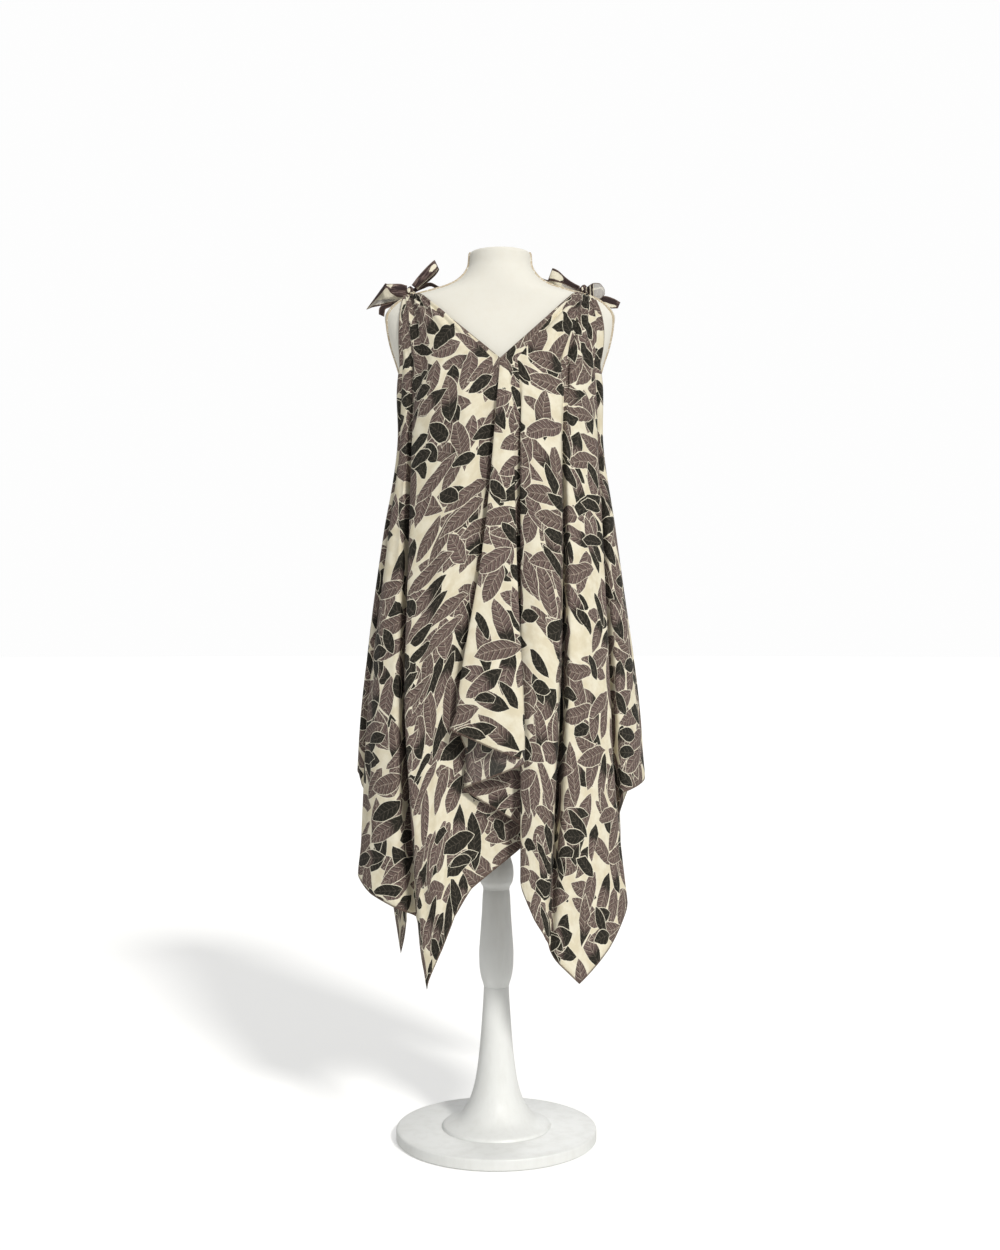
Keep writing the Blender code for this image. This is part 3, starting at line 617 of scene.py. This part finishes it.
# The torso's rings: height, half width, front and back depth.
torsoRings = [
    (0.695, 0.138, 0.086, 0.094), (0.7, 0.148, 0.095, 0.103), (0.715, 0.156, 0.101, 0.109),
    (0.75, 0.161, 0.104, 0.113), (0.82, 0.162, 0.104, 0.114), (0.88, 0.152, 0.099, 0.108),
    (0.95, 0.133, 0.094, 0.092), (1.01, 0.12, 0.088, 0.077), (1.06, 0.124, 0.093, 0.077),
    (1.11, 0.136, 0.105, 0.082), (1.16, 0.147, 0.113, 0.086), (1.2, 0.151, 0.11, 0.09),
    (1.24, 0.16, 0.1, 0.093), (1.275, 0.17, 0.092, 0.092), (1.305, 0.18, 0.083, 0.088),
    (1.333, 0.187, 0.0745, 0.083), (1.352, 0.19, 0.0685, 0.077), (1.366, 0.184, 0.065, 0.074),
    (1.377, 0.172, 0.063, 0.0725), (1.386, 0.15, 0.0618, 0.0715), (1.393, 0.122, 0.061, 0.0705),
    (1.401, 0.094, 0.06, 0.0695), (1.411, 0.073, 0.0585, 0.067), (1.424, 0.059, 0.056, 0.063),
    (1.438, 0.052, 0.053, 0.057), (1.455, 0.0503, 0.052, 0.054), (1.4585, 0.0485, 0.05, 0.052),
]


def onOutline(angle, tuck, drop, facesBack):  # in plan, at an angle round the outline and a tuck behind it
    halfWidth, front, back = (easedCurve(drop, *zip(*[(row[0], row[k]) for row in outline])) for k in (1, 2, 3))
    turn = np.radians(angle)
    side, ahead = np.sin(turn), np.cos(turn)
    depth = np.where((ahead > 0) != facesBack, front, back)
    forward = 1.0 if facesBack else -1.0
    outX, outY = side / halfWidth, forward * ahead / depth
    length = np.hypot(outX, outY)
    turn = hang["straightBack"] * np.sqrt(np.abs(ahead))
    outX, outY = outX / length * (1 - turn), outY / length * (1 - turn) + forward * turn
    length = np.hypot(outX, outY)
    return np.stack((halfWidth * side - tuck * outX / length,
                     forward * depth * ahead - tuck * outY / length), axis=-1)


def levelSection(folds, drop, columns, facesBack):  # the panel's line at one level, its bends rounded
    angles = np.array([easedCurve(drop, (chest, bust, waist, skirt, point), f[1]) for f in folds])
    tucks = mm * np.array([easedCurve(drop, (chest, waist, skirt, point), f[2]) for f in folds])
    corners = onOutline(angles, tucks, drop, facesBack)
    along = np.concatenate(([0], np.cumsum(np.hypot(*np.diff(corners, axis=0).T))))
    places = np.interp(columns, np.arange(len(folds)), along)
    reach = np.minimum(hang["rounding"] * (hang["roundingStart"] + drop), np.minimum(places, along[-1] - places))
    around = [places + step * reach for step in np.linspace(-1.0, 1.0, hang["roundingSteps"])]
    return np.mean([onOutline(np.interp(at, along, angles), np.interp(at, along, tucks), drop, facesBack)
                    for at in around], axis=0)


def panelSurface(name, side):  # rows of points from the knot to the hem, and each point's drop
    knot, facesBack = panels[name][1:3]
    folds = foldLines[name]
    count = (len(folds) - 1) * hang["columnsPerFold"] + 1
    columns = np.linspace(0, len(folds) - 1, count)
    across = columns / columns[-1]
    hem = mm * np.interp(columns, np.arange(len(folds)), [f[3] for f in folds])
    levels = np.linspace(chest, max(hem), hang["levels"])
    plan = np.array([levelSection(folds, level, columns, facesBack) for level in levels])
    forward = 1.0 if facesBack else -1.0
    startX = hang["knotX"][knot] + side * (across - 0.5) * hang["gatherWidth"]
    startY = forward * (hang["knotReach"] + hang["gatherDepth"] * np.sin(math.pi * across))
    easeX, easeY = (np.interp(across, *hang[ease]) for ease in ("easeX", "easeY"))
    inKnot = hang["inKnot"]
    points, drops = [], []
    for row in range(hang["chestRows"] + hang["lowerRows"] + 1):
        if row < hang["chestRows"]:
            share = (row / hang["chestRows"]) ** hang["chestSpacing"]
            drop = np.full(count, chest * share)
            x = startX + (plan[0, :, 0] - startX) * share**easeX
            x += side * hang["sideBulge"][knot] * across**3 * math.sin(math.pi * share)
            outOfKnot = softStep(chest * share, *hang["outOfKnot"])
            start = startY * (hang["depthInKnot"] + (1 - hang["depthInKnot"]) * outOfKnot)
            left = max(chest * share - inKnot, 0.0) / (chest - inKnot)  # since it left the knot
            y = start + (plan[0, :, 1] - start) * left**easeY
        else:
            share = (row - hang["chestRows"]) / hang["lowerRows"]
            drop = chest + (hem - chest) * share
            x, y = (np.array([np.interp(d, levels, plan[:, c, axis]) for c, d in enumerate(drop)])
                    for axis in (0, 1))
        points.append(np.stack((x, y, hang["knotHeight"] - drop), axis=-1))
        drops.append(drop)
    return np.array(points), np.array(drops), columns, hem


def keepOffForm(points):
    heights, gap = [ring[0] for ring in torsoRings], hang["formGap"]
    x, y, z = points[..., 0], points[..., 1], points[..., 2]
    halfWidth, front, back = (np.interp(z, heights, [ring[k] for ring in torsoRings]) + gap for k in (1, 2, 3))
    depth = np.where(y > 0, back, front)
    reach = np.hypot(x / halfWidth, y / depth)
    inside = (z > heights[0] - gap) & (z < heights[-1]) & (reach < 1.0)
    grow = np.where(inside, 1.0 / np.maximum(reach, 0.2), 1.0)
    surface = np.where(y > 0, 1.0, -1.0) * depth * np.sqrt(np.clip(1 - (x / halfWidth) ** 2, 0, 1))
    forward = np.where(inside, softStep(z, *hang["forwardPush"]), 0.0)
    y[...] = y * grow + (surface - y * grow) * forward
    x += (x * grow - x) * (1 - forward)


def outwardNormals(points, flip):
    across, down = np.gradient(points, axis=1), np.gradient(points, axis=0)
    normals = (1.0 if flip else -1.0) * np.cross(across, down)
    return normals / np.maximum(np.linalg.norm(normals, axis=-1, keepdims=True), 1e-9)


def lengthsAlong(points, axis):
    steps = np.linalg.norm(np.diff(points, axis=axis), axis=-1)
    start = np.zeros_like(np.take(steps, [0], axis=axis))
    return np.cumsum(np.concatenate((start, steps), axis=axis), axis=axis)


def gridSheet(name, points, flip):
    rows, width = points.shape[:2]
    bm = bmesh.new()
    bmesh.ops.create_grid(bm, x_segments=width - 1, y_segments=rows - 1, size=1.0)
    if flip:
        bmesh.ops.reverse_faces(bm, faces=bm.faces)
    made = newObject(name, bm)
    flat = np.empty(len(made.data.vertices) * 3)
    made.data.vertices.foreach_get("co", flat)
    flat = flat.reshape(-1, 3)
    column = np.rint((flat[:, 0] + 1) / 2 * (width - 1)).astype(int)
    row = np.rint((1 - flat[:, 1]) / 2 * (rows - 1)).astype(int)
    made.data.vertices.foreach_set("co", points[row, column].ravel())
    made.data.update()
    return made, row, column


def cornersOf(made):  # the point at each corner of each face
    points = np.empty(len(made.data.loops), dtype=int)
    made.data.loops.foreach_get("vertex_index", points)
    return points


def setCut(made, across, along):  # where each face's corners lie on the printed cloth, in metres
    made.data.uv_layers.new(name="cut").data.foreach_set("uv", np.stack((across, along), axis=-1).ravel())


def setPoints(made, name, values):
    made.data.attributes.new(name, "FLOAT", "POINT").data.foreach_set("value", values)


def thicken(made, offset, isEven):
    wall = made.modifiers.new("wall", "SOLIDIFY")
    wall.thickness = thickness
    wall.offset = offset
    wall.material_offset = 1
    wall.use_quality_normals = isEven


def dressPiece(made, nodes, slot, *materials):
    for material in materials:
        made.data.materials.append(material)
    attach(made, "root")
    if nodes:
        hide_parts(*nodes)


def creaseDepths(name, along, drops, columns, hem):  # how far each point moves out for what lies over the folds
    total = along[:, -1:]
    offset = np.zeros_like(drops)
    for place, start, end, depth, halfWidth, lean in creases[name]:
        middle = np.array([np.interp(place, columns, row) for row in along])[:, None]
        down = np.clip((drops - start) / (end - start), 0, 1)
        window = np.sin(math.pi * down) ** hang["creasePower"]
        distance = (along - middle - lean * mm * (down - 0.5)) / (halfWidth * mm)
        offset += depth * mm * window * np.exp(-0.5 * distance**2)
    share = along / np.maximum(total, 1e-6)
    for place, depth, halfWidth, reach in gathers[name]:
        fade = softStep(drops, 0.0, hang["gatherStart"]) * (1 - softStep(drops, reach * hang["gatherFade"], reach))
        fade = fade * np.minimum(total / hang["gatherFull"], 1)
        offset += hang["gatherGain"] * depth * mm * fade * np.exp(-0.5 * ((share - place) / halfWidth) ** 2)
    for place, halfWidth, start, reach in hemTurns[name]:
        low = softStep(drops, hem - start, hem) ** hang["hemPower"]
        offset += reach * mm * low * np.exp(-(((columns - place) / halfWidth) ** 2))
    return offset * softStep(np.minimum(along, total - along), 0.0, hang["seamEase"])


def clothPanel(name, cloths):
    nodeName, knot, facesBack, area, printStart, printBreaks = panels[name]
    side = 1.0 if hang["knotX"][knot] > 0 else -1.0
    flip = (side > 0) == facesBack
    points, drops, columns, hem = panelSurface(name, side)
    keepOffForm(points)
    depths = creaseDepths(name, lengthsAlong(points, 1), drops, columns, hem)
    points += outwardNormals(points, flip) * depths[..., None]
    keepOffForm(points)

    made, row, column = gridSheet(nodeName + "_cloth", points, flip)
    along, radius = lengthsAlong(points, 1), lengthsAlong(points, 0)
    corners = cornersOf(made)
    row, column, pointRow, pointColumn = row[corners], column[corners], row, column
    faceColumn = np.repeat(column.reshape(-1, 4).min(axis=1), 4)
    breaks = np.array((0, *printBreaks, len(foldLines[name]) - 1)) * hang["columnsPerFold"]
    stretch = np.searchsorted(breaks, faceColumn, side="right") - 1  # which unbroken stretch of the print
    middles = ((breaks[:-1] + breaks[1:]) // 2)[stretch]
    across = side * (along[row, column] - along[row, middles])
    setCut(made, across + printStart + printStep * stretch, -radius[row, column])
    slope = np.abs(np.gradient(hem)) / np.maximum(np.gradient(along[-1]), 1e-5)
    toHem = hang["hemNear"] * (hem - drops) / np.sqrt(1 + np.clip(slope, 0, hang["hemSlope"]) ** 2)
    toNeck = np.where(drops < chest, along, 1.0)
    toArmhole = np.where(drops < bust, along[:, -1:] - along, 1.0)
    edgeDistance = np.minimum(np.minimum(toHem, toNeck), toArmhole)
    setPoints(made, "edgeDistance", edgeDistance[pointRow, pointColumn])
    thicken(made, -1, True)
    dressPiece(made, [nodeName], "printed_cloth", *cloths)
    print(name, "hangs; square metres that show:", round(sum(f.area for f in made.data.polygons), 3))


# The bows: knots, loops and ends of the panels' tied corners
bow = {
    "rowsPerPlace": 9,
    "across": 16,
    "pleat": 1.3,  # mm deep beside the knot
    "pleatWave": (4 * math.pi, 0.8),  # across the strip, and where it starts
    "pleatReach": 17,  # mm
    "ripple": 0.5,
    "rippleWave": (2.1, 5),  # for each place along, and across
    "strapSlope": 8,  # mm that a strap's lower edge lies behind its upper one
    "narrowest": 0.0101,  # metres, the narrowest width of a sheet
    "knotSides": (64, 40),
    "wrap": (2.0, 3.2, 0.6, 0.26),  # waves round the knot and up it, where they start, their depth of its radius
    "cord": (9.0, 2.2, 0.8, 0.08),  # waves up the knot, their sway round it, where that starts, depth
    "knotTone": -0.5,
    "knotSlant": (0.4, 0.3),  # of the print, across and up for each metre to the back
    "toneBlur": 0.3,  # of a tone's reach
    "printStarts": (11.3, 21.4),  # metres, of the first strip and the first knot
    "printStep": 0.7,
}
# A strip from its knot outwards, and back if it is a loop. Each place: the upper edge's x and z, the lower edge's
# x and z, the depth y and how far the middle stands behind the edges, all in mm from the knot's middle.
bowStrips = {
    "left_loop_wide": ("left_knot", [
        (-4.8, 9.7, -4.8, -7.7, -3, 0), (-15.9, 10.9, -17.5, -11.2, -10, -3), (-28, 10, -29.6, -5.6, -13, -3),
        (-35.5, 10.4, -38, 3.8, -11, -1), (-38, 11.5, -48.9, -7.1, -8, -1), (-40, 12.7, -61.6, -19.4, -4, -1),
        (-41.2, 12.8, -71.8, -29.3, 0, 0), (-38.2, 12.8, -63, -25.2, 4, 1), (-25.2, 11.8, -43.4, -20.5, 7, 2),
        (-13.6, 9.1, -20.2, -16.5, 6, 1), (-5.1, 6, -3.5, -12.2, 3, 0),
    ]),
    "left_loop_up": ("left_knot", [
        (2.6, 10.7, 10, 4.9, -2, 0), (15.1, 25.7, 24.2, 15.8, -5, -2), (28.3, 39.5, 36.6, 26.3, -6, -2),
        (39.1, 50.7, 46.6, 37.7, -3, -1), (40.5, 52.6, 47.8, 36.9, 1, 0), (34.4, 46.1, 43.5, 30.4, 5, 1),
        (22.8, 33.9, 31.9, 19, 6, 1), (6.4, 15.1, 12.2, 2.7, 3, 0),
    ]),
    "left_tail": ("left_knot", [
        (-3.5, -10.3, -3.5, -16.9, 4, 0), (-19.9, -14.2, -19, -20, 1, 0), (-36.3, -19.4, -34.6, -26, 0, 0),
        (-46.9, -22.9, -40.4, -29.5, -1, -1), (-51.1, -29.5, -41.5, -32.8, -1, -1),
        (-51.4, -37.7, -42.5, -41.5, -1, 0),
    ]),
    "left_strap": ("left_knot", [
        (4.7, 6.4, 4.7, 0.6, 5, 0), (19.4, 12.5, 19.4, 7.9, 8, 0), (32.6, 17, 32.6, 12.7, 9, 0),
        (44.1, 12.5, 43.3, 8.5, 11, 0), (55.7, 5.6, 54.3, 1.8, 12, 0),
    ]),
    "right_loop_inner": ("right_knot", [
        (-6.2, 6.2, -7.8, -2, -3, 0), (-19.5, 11.9, -22, 3.7, -7, -1), (-31.1, 19.7, -35.2, 9, -9, -2),
        (-41.8, 30.1, -47.5, 12, -8, -2), (-50.3, 35.5, -57.2, 14.4, -3, -1), (-51.5, 35.8, -59.4, 14.5, 1, 0),
        (-47.9, 31.1, -56.2, 9.6, 5, 1), (-35.4, 19.9, -40.4, 2.1, 7, 1), (-20.6, 11.4, -23.1, -5.1, 6, 0),
        (-5.8, 4.2, -9.2, -9, 3, 0),
    ]),
    "right_loop_outer": ("right_knot", [
        (5.3, 4.3, 7, -13.8, -4, 0), (10.8, 7.2, 11.6, -16.7, -10, -2), (16.4, 9.2, 17.2, -18.4, -12, -3),
        (24.8, 9.5, 25.6, -17, -9, -3), (31.8, 4.6, 32.6, -10.3, -3, -1), (34.7, 0.5, 35, -6.1, 1, 0),
        (29, 7.9, 29.8, -11.1, 5, 1), (17.5, 8.1, 17.5, -10.1, 6, 0), (6.5, 4.2, 7.4, -9, 3, 0),
    ]),
    "right_tail": ("right_knot", [
        (7.3, -10, 7.3, -19.1, 2, 0), (20.3, -11.5, 20.3, -22, -2, 0), (34, -10.5, 34.2, -26.8, -4, -1),
        (49, -14.5, 45.7, -31.2, -4, -1.5), (60.5, -20.5, 56.2, -30.3, -2, -1),
    ]),
    "right_strap": ("right_knot", [
        (-5.7, 3, -5.7, -2, 5, 0), (-25.5, 10.2, -25.5, 5.9, 8, 0), (-45.3, 16.2, -45.3, 12.1, 9, 0),
        (-60.1, 19.2, -61, 14.9, 11, 0), (-73, 24, -75, 20.4, 12, 0),
    ]),
}
turnedOver = ("right_loop_outer",)  # shows its wrong side
# Where the print falls on a strip: place and share across, how far it reaches each way, and the tone there: 1 bare
# cream, 2 painted cool shade in grey, -0.5 taupe, -1 nearly black. The later lie over the earlier.
bowTones = {
    "left_loop_wide": [(1.4, 0.5, 2, 1, -0.5), (2.7, 0.15, 0.8, 0.42, 1), (2.2, 1, 2.4, 0.13, -1),
                       (1, 0.35, 0.9, 0.12, -1), (4.8, 0.6, 1.4, 2, -1), (7.6, 0.5, 2, 2, 1),
                       (7.4, 0.85, 1.3, 0.16, 2), (8.6, 1, 2.3, 0.13, -1)],
    "left_loop_up": [(2, 0.5, 2.3, 2, -0.5), (2.5, 0.56, 0.5, 0.26, 1), (2, 1, 2.2, 0.2, -1),
                     (5.6, 0.5, 1.5, 1, 1), (5.8, 1, 1.6, 0.16, -1)],
    "left_tail": [(2.5, 0.5, 4, 2, -1)],
    "left_strap": [(2, 0.5, 4, 2, -1)],
    "right_loop_inner": [(1.2, 0.5, 1.1, 1, -1), (3.2, 0.5, 1.2, 0.44, 1), (2.8, 0, 2.4, 0.17, -1),
                         (3.2, 1, 2, 0.19, -1), (7.2, 0.6, 1.9, 0.9, 1),
                         (8, 0.6, 0.9, 0.5, 2)],
    "right_loop_outer": [(0.7, 0.5, 1.2, 2, -1), (0.9, 0.5, 0.22, 1, 1), (3.4, 0.5, 1.7, 1.2, 2)],
    "right_tail": [(2, 0.35, 3.2, 0.9, -1), (2, 0.76, 2, 0.13, 1), (2, 1, 2.4, 0.11, -1),
                   (4, 0.4, 0.5, 0.8, -0.5)],
    "right_strap": [(2, 0.5, 4, 2, -1)],
    "left_knot": [(-0.25, 0.15, 0.42, 0.5, 1), (0.5, -0.55, 0.3, 0.3, 1)],
    # on the right knot, the near-black patch low in the middle is painted shadow of the gap under the knot
    "right_knot": [(-0.35, 0.1, 0.2, 0.5, 1), (0.1, -0.4, 0.26, 0.6, -1), (0.62, 0, 0.16, 0.5, 1)],
}


def knotPlace(node):
    low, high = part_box(node)
    return (Vector(low) + Vector(high)) / 2, (Vector(high) - Vector(low)) / 2


def toneAt(name, across, along, base):  # the print's tone at places on a strip or a knot
    tone = np.full(np.broadcast(across, along).shape, base)
    for middle, share, reach, shareReach, value in bowTones[name]:
        away = np.hypot((along - middle) / reach, (across - share) / shareReach)
        inside = softStep(1 + bow["toneBlur"] / 2 - away, 0.0, bow["toneBlur"])
        tone = tone * (1 - inside) + value * inside
    return tone


def tieStrip(name, shift, cloths):
    knot, places = bowStrips[name]
    upperX, upperZ, lowerX, lowerZ, depth, bulge = (
        column[:, None] for column in easedRows(places, bow["rowsPerPlace"]))
    steps = np.linspace(0, len(places) - 1, len(depth))[:, None]
    share = np.linspace(0, 1, bow["across"])[None, :]
    x, z = upperX + (lowerX - upperX) * share, upperZ + (lowerZ - upperZ) * share
    nearKnot = np.exp(-((x**2 + z**2) / bow["pleatReach"] ** 2))
    wave, start = bow["pleatWave"]
    y = depth + bulge * (1 - (2 * share - 1) ** 2) + bow["pleat"] * nearKnot * np.sin(share * wave + start)
    along, across = bow["rippleWave"]
    y = y + bow["ripple"] * (1 - nearKnot) * np.sin(steps * along + share * across)
    if "strap" in name:
        y = y + bow["strapSlope"] * share
    points = np.array(knotPlace(knot)[0]) + mm * np.stack((x, y, z), axis=-1)
    first = bow["rowsPerPlace"]
    alongX, alongZ = upperX[first, 0] - upperX[0, 0], upperZ[first, 0] - upperZ[0, 0]
    downX, downZ = lowerX[first, 0] - upperX[first, 0], lowerZ[first, 0] - upperZ[first, 0]
    facesAway = alongZ * downX - alongX * downZ > 0

    made, row, column = gridSheet(name + "_cloth", points, facesAway != (name in turnedOver))
    lengths, widths = lengthsAlong(points, 0), lengthsAlong(points, 1)
    corners = cornersOf(made)
    corners = row[corners], column[corners]
    setCut(made, widths[corners] + shift, lengths[corners])
    setPoints(made, "edgeDistance", np.minimum(widths, widths[:, -1:] - widths)[row, column])
    setPoints(made, "tone", toneAt(name, share, steps, 0.0)[row, column])
    thicken(made, 0, False)
    dressPiece(made, [] if "strap" in name else [name], "printed_cloth", *cloths)


def tieKnot(name, shift, cloth):
    middle, reach = knotPlace(name)
    bm = bmesh.new()
    sides, rings = bow["knotSides"]
    bmesh.ops.create_uvsphere(bm, u_segments=sides, v_segments=rings, radius=1.0)
    around, up, start, wrapDepth = bow["wrap"]
    waves, sway, swayStart, cordDepth = bow["cord"]
    for vertex in bm.verts:
        x, y, z = vertex.co
        turn = math.atan2(y, x)
        wrap = math.sin(around * turn + up * z + start)
        cord = math.sin(waves * z + sway * math.sin(turn + swayStart))
        radius = 1.0 - wrapDepth * (0.5 - 0.5 * wrap) ** 3 - cordDepth * (0.5 - 0.5 * cord) ** 2
        vertex.co = [centre + size * place * radius for centre, size, place in zip(middle, reach, (x, y, z))]
    made = newObject(name + "_cloth", bm)
    places = np.array([(vertex.co - middle)[:] for vertex in made.data.vertices])
    x, y, z = places[cornersOf(made)].T
    slantX, slantZ = bow["knotSlant"]
    setCut(made, shift + x + slantX * y, z + slantZ * y)
    x, y, z = places.T
    setPoints(made, "edgeDistance", np.ones(len(places)))
    tone = toneAt(name, z / reach.z, x / reach.x, bow["knotTone"])
    setPoints(made, "tone", np.where(y < 0, tone, bow["knotTone"]))
    dressPiece(made, [name], "printed_cloth", cloth)


jersey = {
    "colour": (0.785, 0.765, 0.69),
    "shade": (0.74, 0.70, 0.60),
    "soil": (55, 5.0, 0.7, 0.42, 0.72, 0.24),  # patches, as in the print, and their strength
    "specks": (420, 2.0, 0.5, 0.70, 0.76, 0.8),
    "coursePitch": 0.0009,
    "courseHeight": 0.25,  # of the fuzz
    "fuzz": (700, 3.0, 0.6),
    "bump": (0.35, 0.0005),
    "surface": {"Roughness": 0.88, "Specular IOR Level": 0.2, "Sheen Weight": 0.15},
    "sides": 144,
    "stepsPerRing": 5,
    "sharpFrom": 50,  # degrees
}
sideSeam = {
    "colour": (0.52, 0.43, 0.30),
    "frayed": (330, 3.0, 0.6, 0.50, 0.68),
    "roughness": 0.9,
    "radius": 0.0026,
    "inset": 0.0002,
    "turn": ((0.70, 0), (1.28, 0), (1.34, 10), (1.40, 26), (1.43, 12), (1.4585, 6)),  # height, degrees to the front
}


def fineKnit():
    given, put = newGroup("fineKnit", ("Place",), ("Height", "Soil"))
    place = given["Place"]
    courses = sums("SINE", nodeOf("SeparateXYZ", (place,))[2] * (2 * math.pi / jersey["coursePitch"]))
    fill(put, {"Height": courses * jersey["courseHeight"] + noiseOf(place, *jersey["fuzz"]),
               "Soil": patches(place, *jersey["soil"])})


def jerseyMaterial():
    made, tree, shader = newMaterial("ivoryJersey")
    place = nodeOf("TexCoord", tree=tree)["Object"]
    knit = useGroup("fineKnit", Place=place)
    colour = blend(knit["Soil"], jersey["colour"], jersey["shade"])
    specks = patches(place, *jersey["specks"])
    fill(shader, {"Base Color": blend(specks, colour, jersey["shade"]),
                  "Normal": bumpOf(knit["Height"], *jersey["bump"]), **jersey["surface"]})
    return made


def seamMaterial():
    made, tree, shader = newMaterial("seamThread")
    frayed = patches(nodeOf("TexCoord", tree=tree)["Object"], *sideSeam["frayed"])
    fill(shader, {"Base Color": blend(frayed, sideSeam["colour"], jersey["colour"]),
                  "Roughness": sideSeam["roughness"]})
    return made


def torsoCover():
    heights, widths, fronts, backs = easedRows(torsoRings, jersey["stepsPerRing"])
    bm = bmesh.new()
    below = None
    for height, width, front, back in zip(heights, widths, fronts, backs):
        ring = bmesh.ops.create_circle(bm, segments=jersey["sides"], radius=1.0)["verts"]
        for vertex in ring:
            depth = back if vertex.co.y > 0 else front
            vertex.co = (width * vertex.co.x, depth * vertex.co.y, height)
        edges = list({e for v in ring for e in v.link_edges})
        if below:
            bmesh.ops.bridge_loops(bm, edges=below + edges)
        below = edges
    bmesh.ops.holes_fill(bm, edges=[e for e in bm.edges if e.is_boundary], sides=0)
    bmesh.ops.recalc_face_normals(bm, faces=bm.faces)
    made = newObject("torso_cover", bm)
    made.data.set_sharp_from_angle(angle=math.radians(jersey["sharpFrom"]))
    dressPiece(made, ["form_torso"], "form_jersey", jerseyMaterial())
    line = bpy.data.curves.new("torso_side_seam", "CURVE")
    line.dimensions = "3D"
    line.bevel_depth = sideSeam["radius"]
    line.bevel_resolution = 3
    turns = np.radians(np.interp(heights, *zip(*sideSeam["turn"])))
    for side in (-1, 1):
        spline = line.splines.new("POLY")
        spline.points.add(len(heights) - 1)
        for target, height, width, front, turn in zip(spline.points, heights, widths, fronts, turns):
            target.co = (side * (width - sideSeam["inset"]) * math.cos(turn), -front * math.sin(turn), height, 1)
    dressPiece(addObject("torso_side_seam", line), [], "form_jersey", seamMaterial())


paint = {
    "colour": (0.80, 0.81, 0.79),
    "worn": (0.55, 0.54, 0.50),
    "streaks": (60, 4.0, 0.6),
    "streakStretch": (1.0, 1.0, 0.25),
    "wornStreaks": (0.4, 0.7, 0.0, 0.15),  # in the streaks, from and to, and what they give there
    "chips": (190, 3.0, 0.6, 0.72, 0.76, 0.5),
    "roughness": (0.3, 0.7, 0.38, 0.52),
    "bump": (0.25, 0.0006),
    "sides": 96,
    "stepsPerRing": 6,
    "sharpFrom": 40,
    "merge": 0.00001,
}
standTurns = {  # radius and height of each ring, top to bottom; a sharp ring is given twice
    "form_knob": [
        (0.045, 0.6947), (0.045, 0.686), (0.03, 0.676), (0.019, 0.64), (0.017, 0.56), (0.018, 0.48),
        (0.024, 0.462), (0.028, 0.446), (0.0285, 0.436), (0.027, 0.424), (0.0225, 0.415), (0.0215, 0.4103),
    ],
    "form_post": [
        (0.0215, 0.41), (0.0225, 0.402), (0.024, 0.372), (0.0265, 0.336), (0.0284, 0.306), (0.028, 0.286),
        (0.0255, 0.268), (0.022, 0.256), (0.0206, 0.2503),
    ],
    "form_pedestal": [
        (0.0206, 0.25), (0.0214, 0.232), (0.0235, 0.2), (0.0275, 0.15), (0.034, 0.1), (0.046, 0.06),
        (0.064, 0.036), (0.088, 0.0243), (0.09, 0.0203),
    ],
    "form_base": [(0.16, 0.02), (0.164, 0.0185), (0.165, 0.016), (0.165, 0.003), (0.162, 0)],
}


def paintMaterial():
    made, tree, shader = newMaterial("standPaint")
    place = nodeOf("TexCoord", tree=tree)["Object"]
    streaks = noiseOf(place * paint["streakStretch"], *paint["streaks"])
    colour = blend(spread(streaks, *paint["wornStreaks"]), paint["colour"], paint["worn"])
    chips = patches(place, *paint["chips"])
    fill(shader, {"Base Color": blend(chips, colour, paint["worn"]), "Normal": bumpOf(streaks, *paint["bump"]),
                  "Roughness": spread(streaks, *paint["roughness"])})
    return made


def turnedPiece(node, material):
    radii, heights = easedRows(standTurns[node], paint["stepsPerRing"])
    low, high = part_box(node)
    axisX = (low[0] + high[0]) / 2
    bm = bmesh.new()
    profile = [(0.0, heights[0]), *zip(radii, heights), (0.0, heights[-1])]
    corners = [bm.verts.new((axisX + radius, 0.0, height)) for radius, height in profile]
    edges = [bm.edges.new(pair) for pair in zip(corners, corners[1:])]
    bmesh.ops.spin(bm, geom=corners + edges, cent=(axisX, 0, 0), axis=(0, 0, 1), angle=2 * math.pi,
                   steps=paint["sides"], use_merge=True)
    bmesh.ops.remove_doubles(bm, verts=bm.verts, dist=paint["merge"])
    bmesh.ops.recalc_face_normals(bm, faces=bm.faces)
    made = newObject(node + "_turned", bm)
    made.data.set_sharp_from_angle(angle=math.radians(paint["sharpFrom"]))
    dressPiece(made, [node], "stand_paint", material)


setCamera()
setStage()
for makeGroup in (leafLayer, leafPrint, plainWeave, fineKnit):
    makeGroup()
cloths = printedCloth("printedClothRight", False), printedCloth("printedClothWrong", True)
for name in panels:
    clothPanel(name, cloths)
print("panels hung")
stripStart, knotStart = bow["printStarts"]
for count, name in enumerate(bowStrips):
    tieStrip(name, stripStart + bow["printStep"] * count, cloths)
for count, name in enumerate(hang["knotX"]):
    tieKnot(name, knotStart + bow["printStep"] * count, cloths[0])
print("bows tied")
torsoCover()
standPaint = paintMaterial()
for node in standTurns:
    turnedPiece(node, standPaint)
print("form stood")
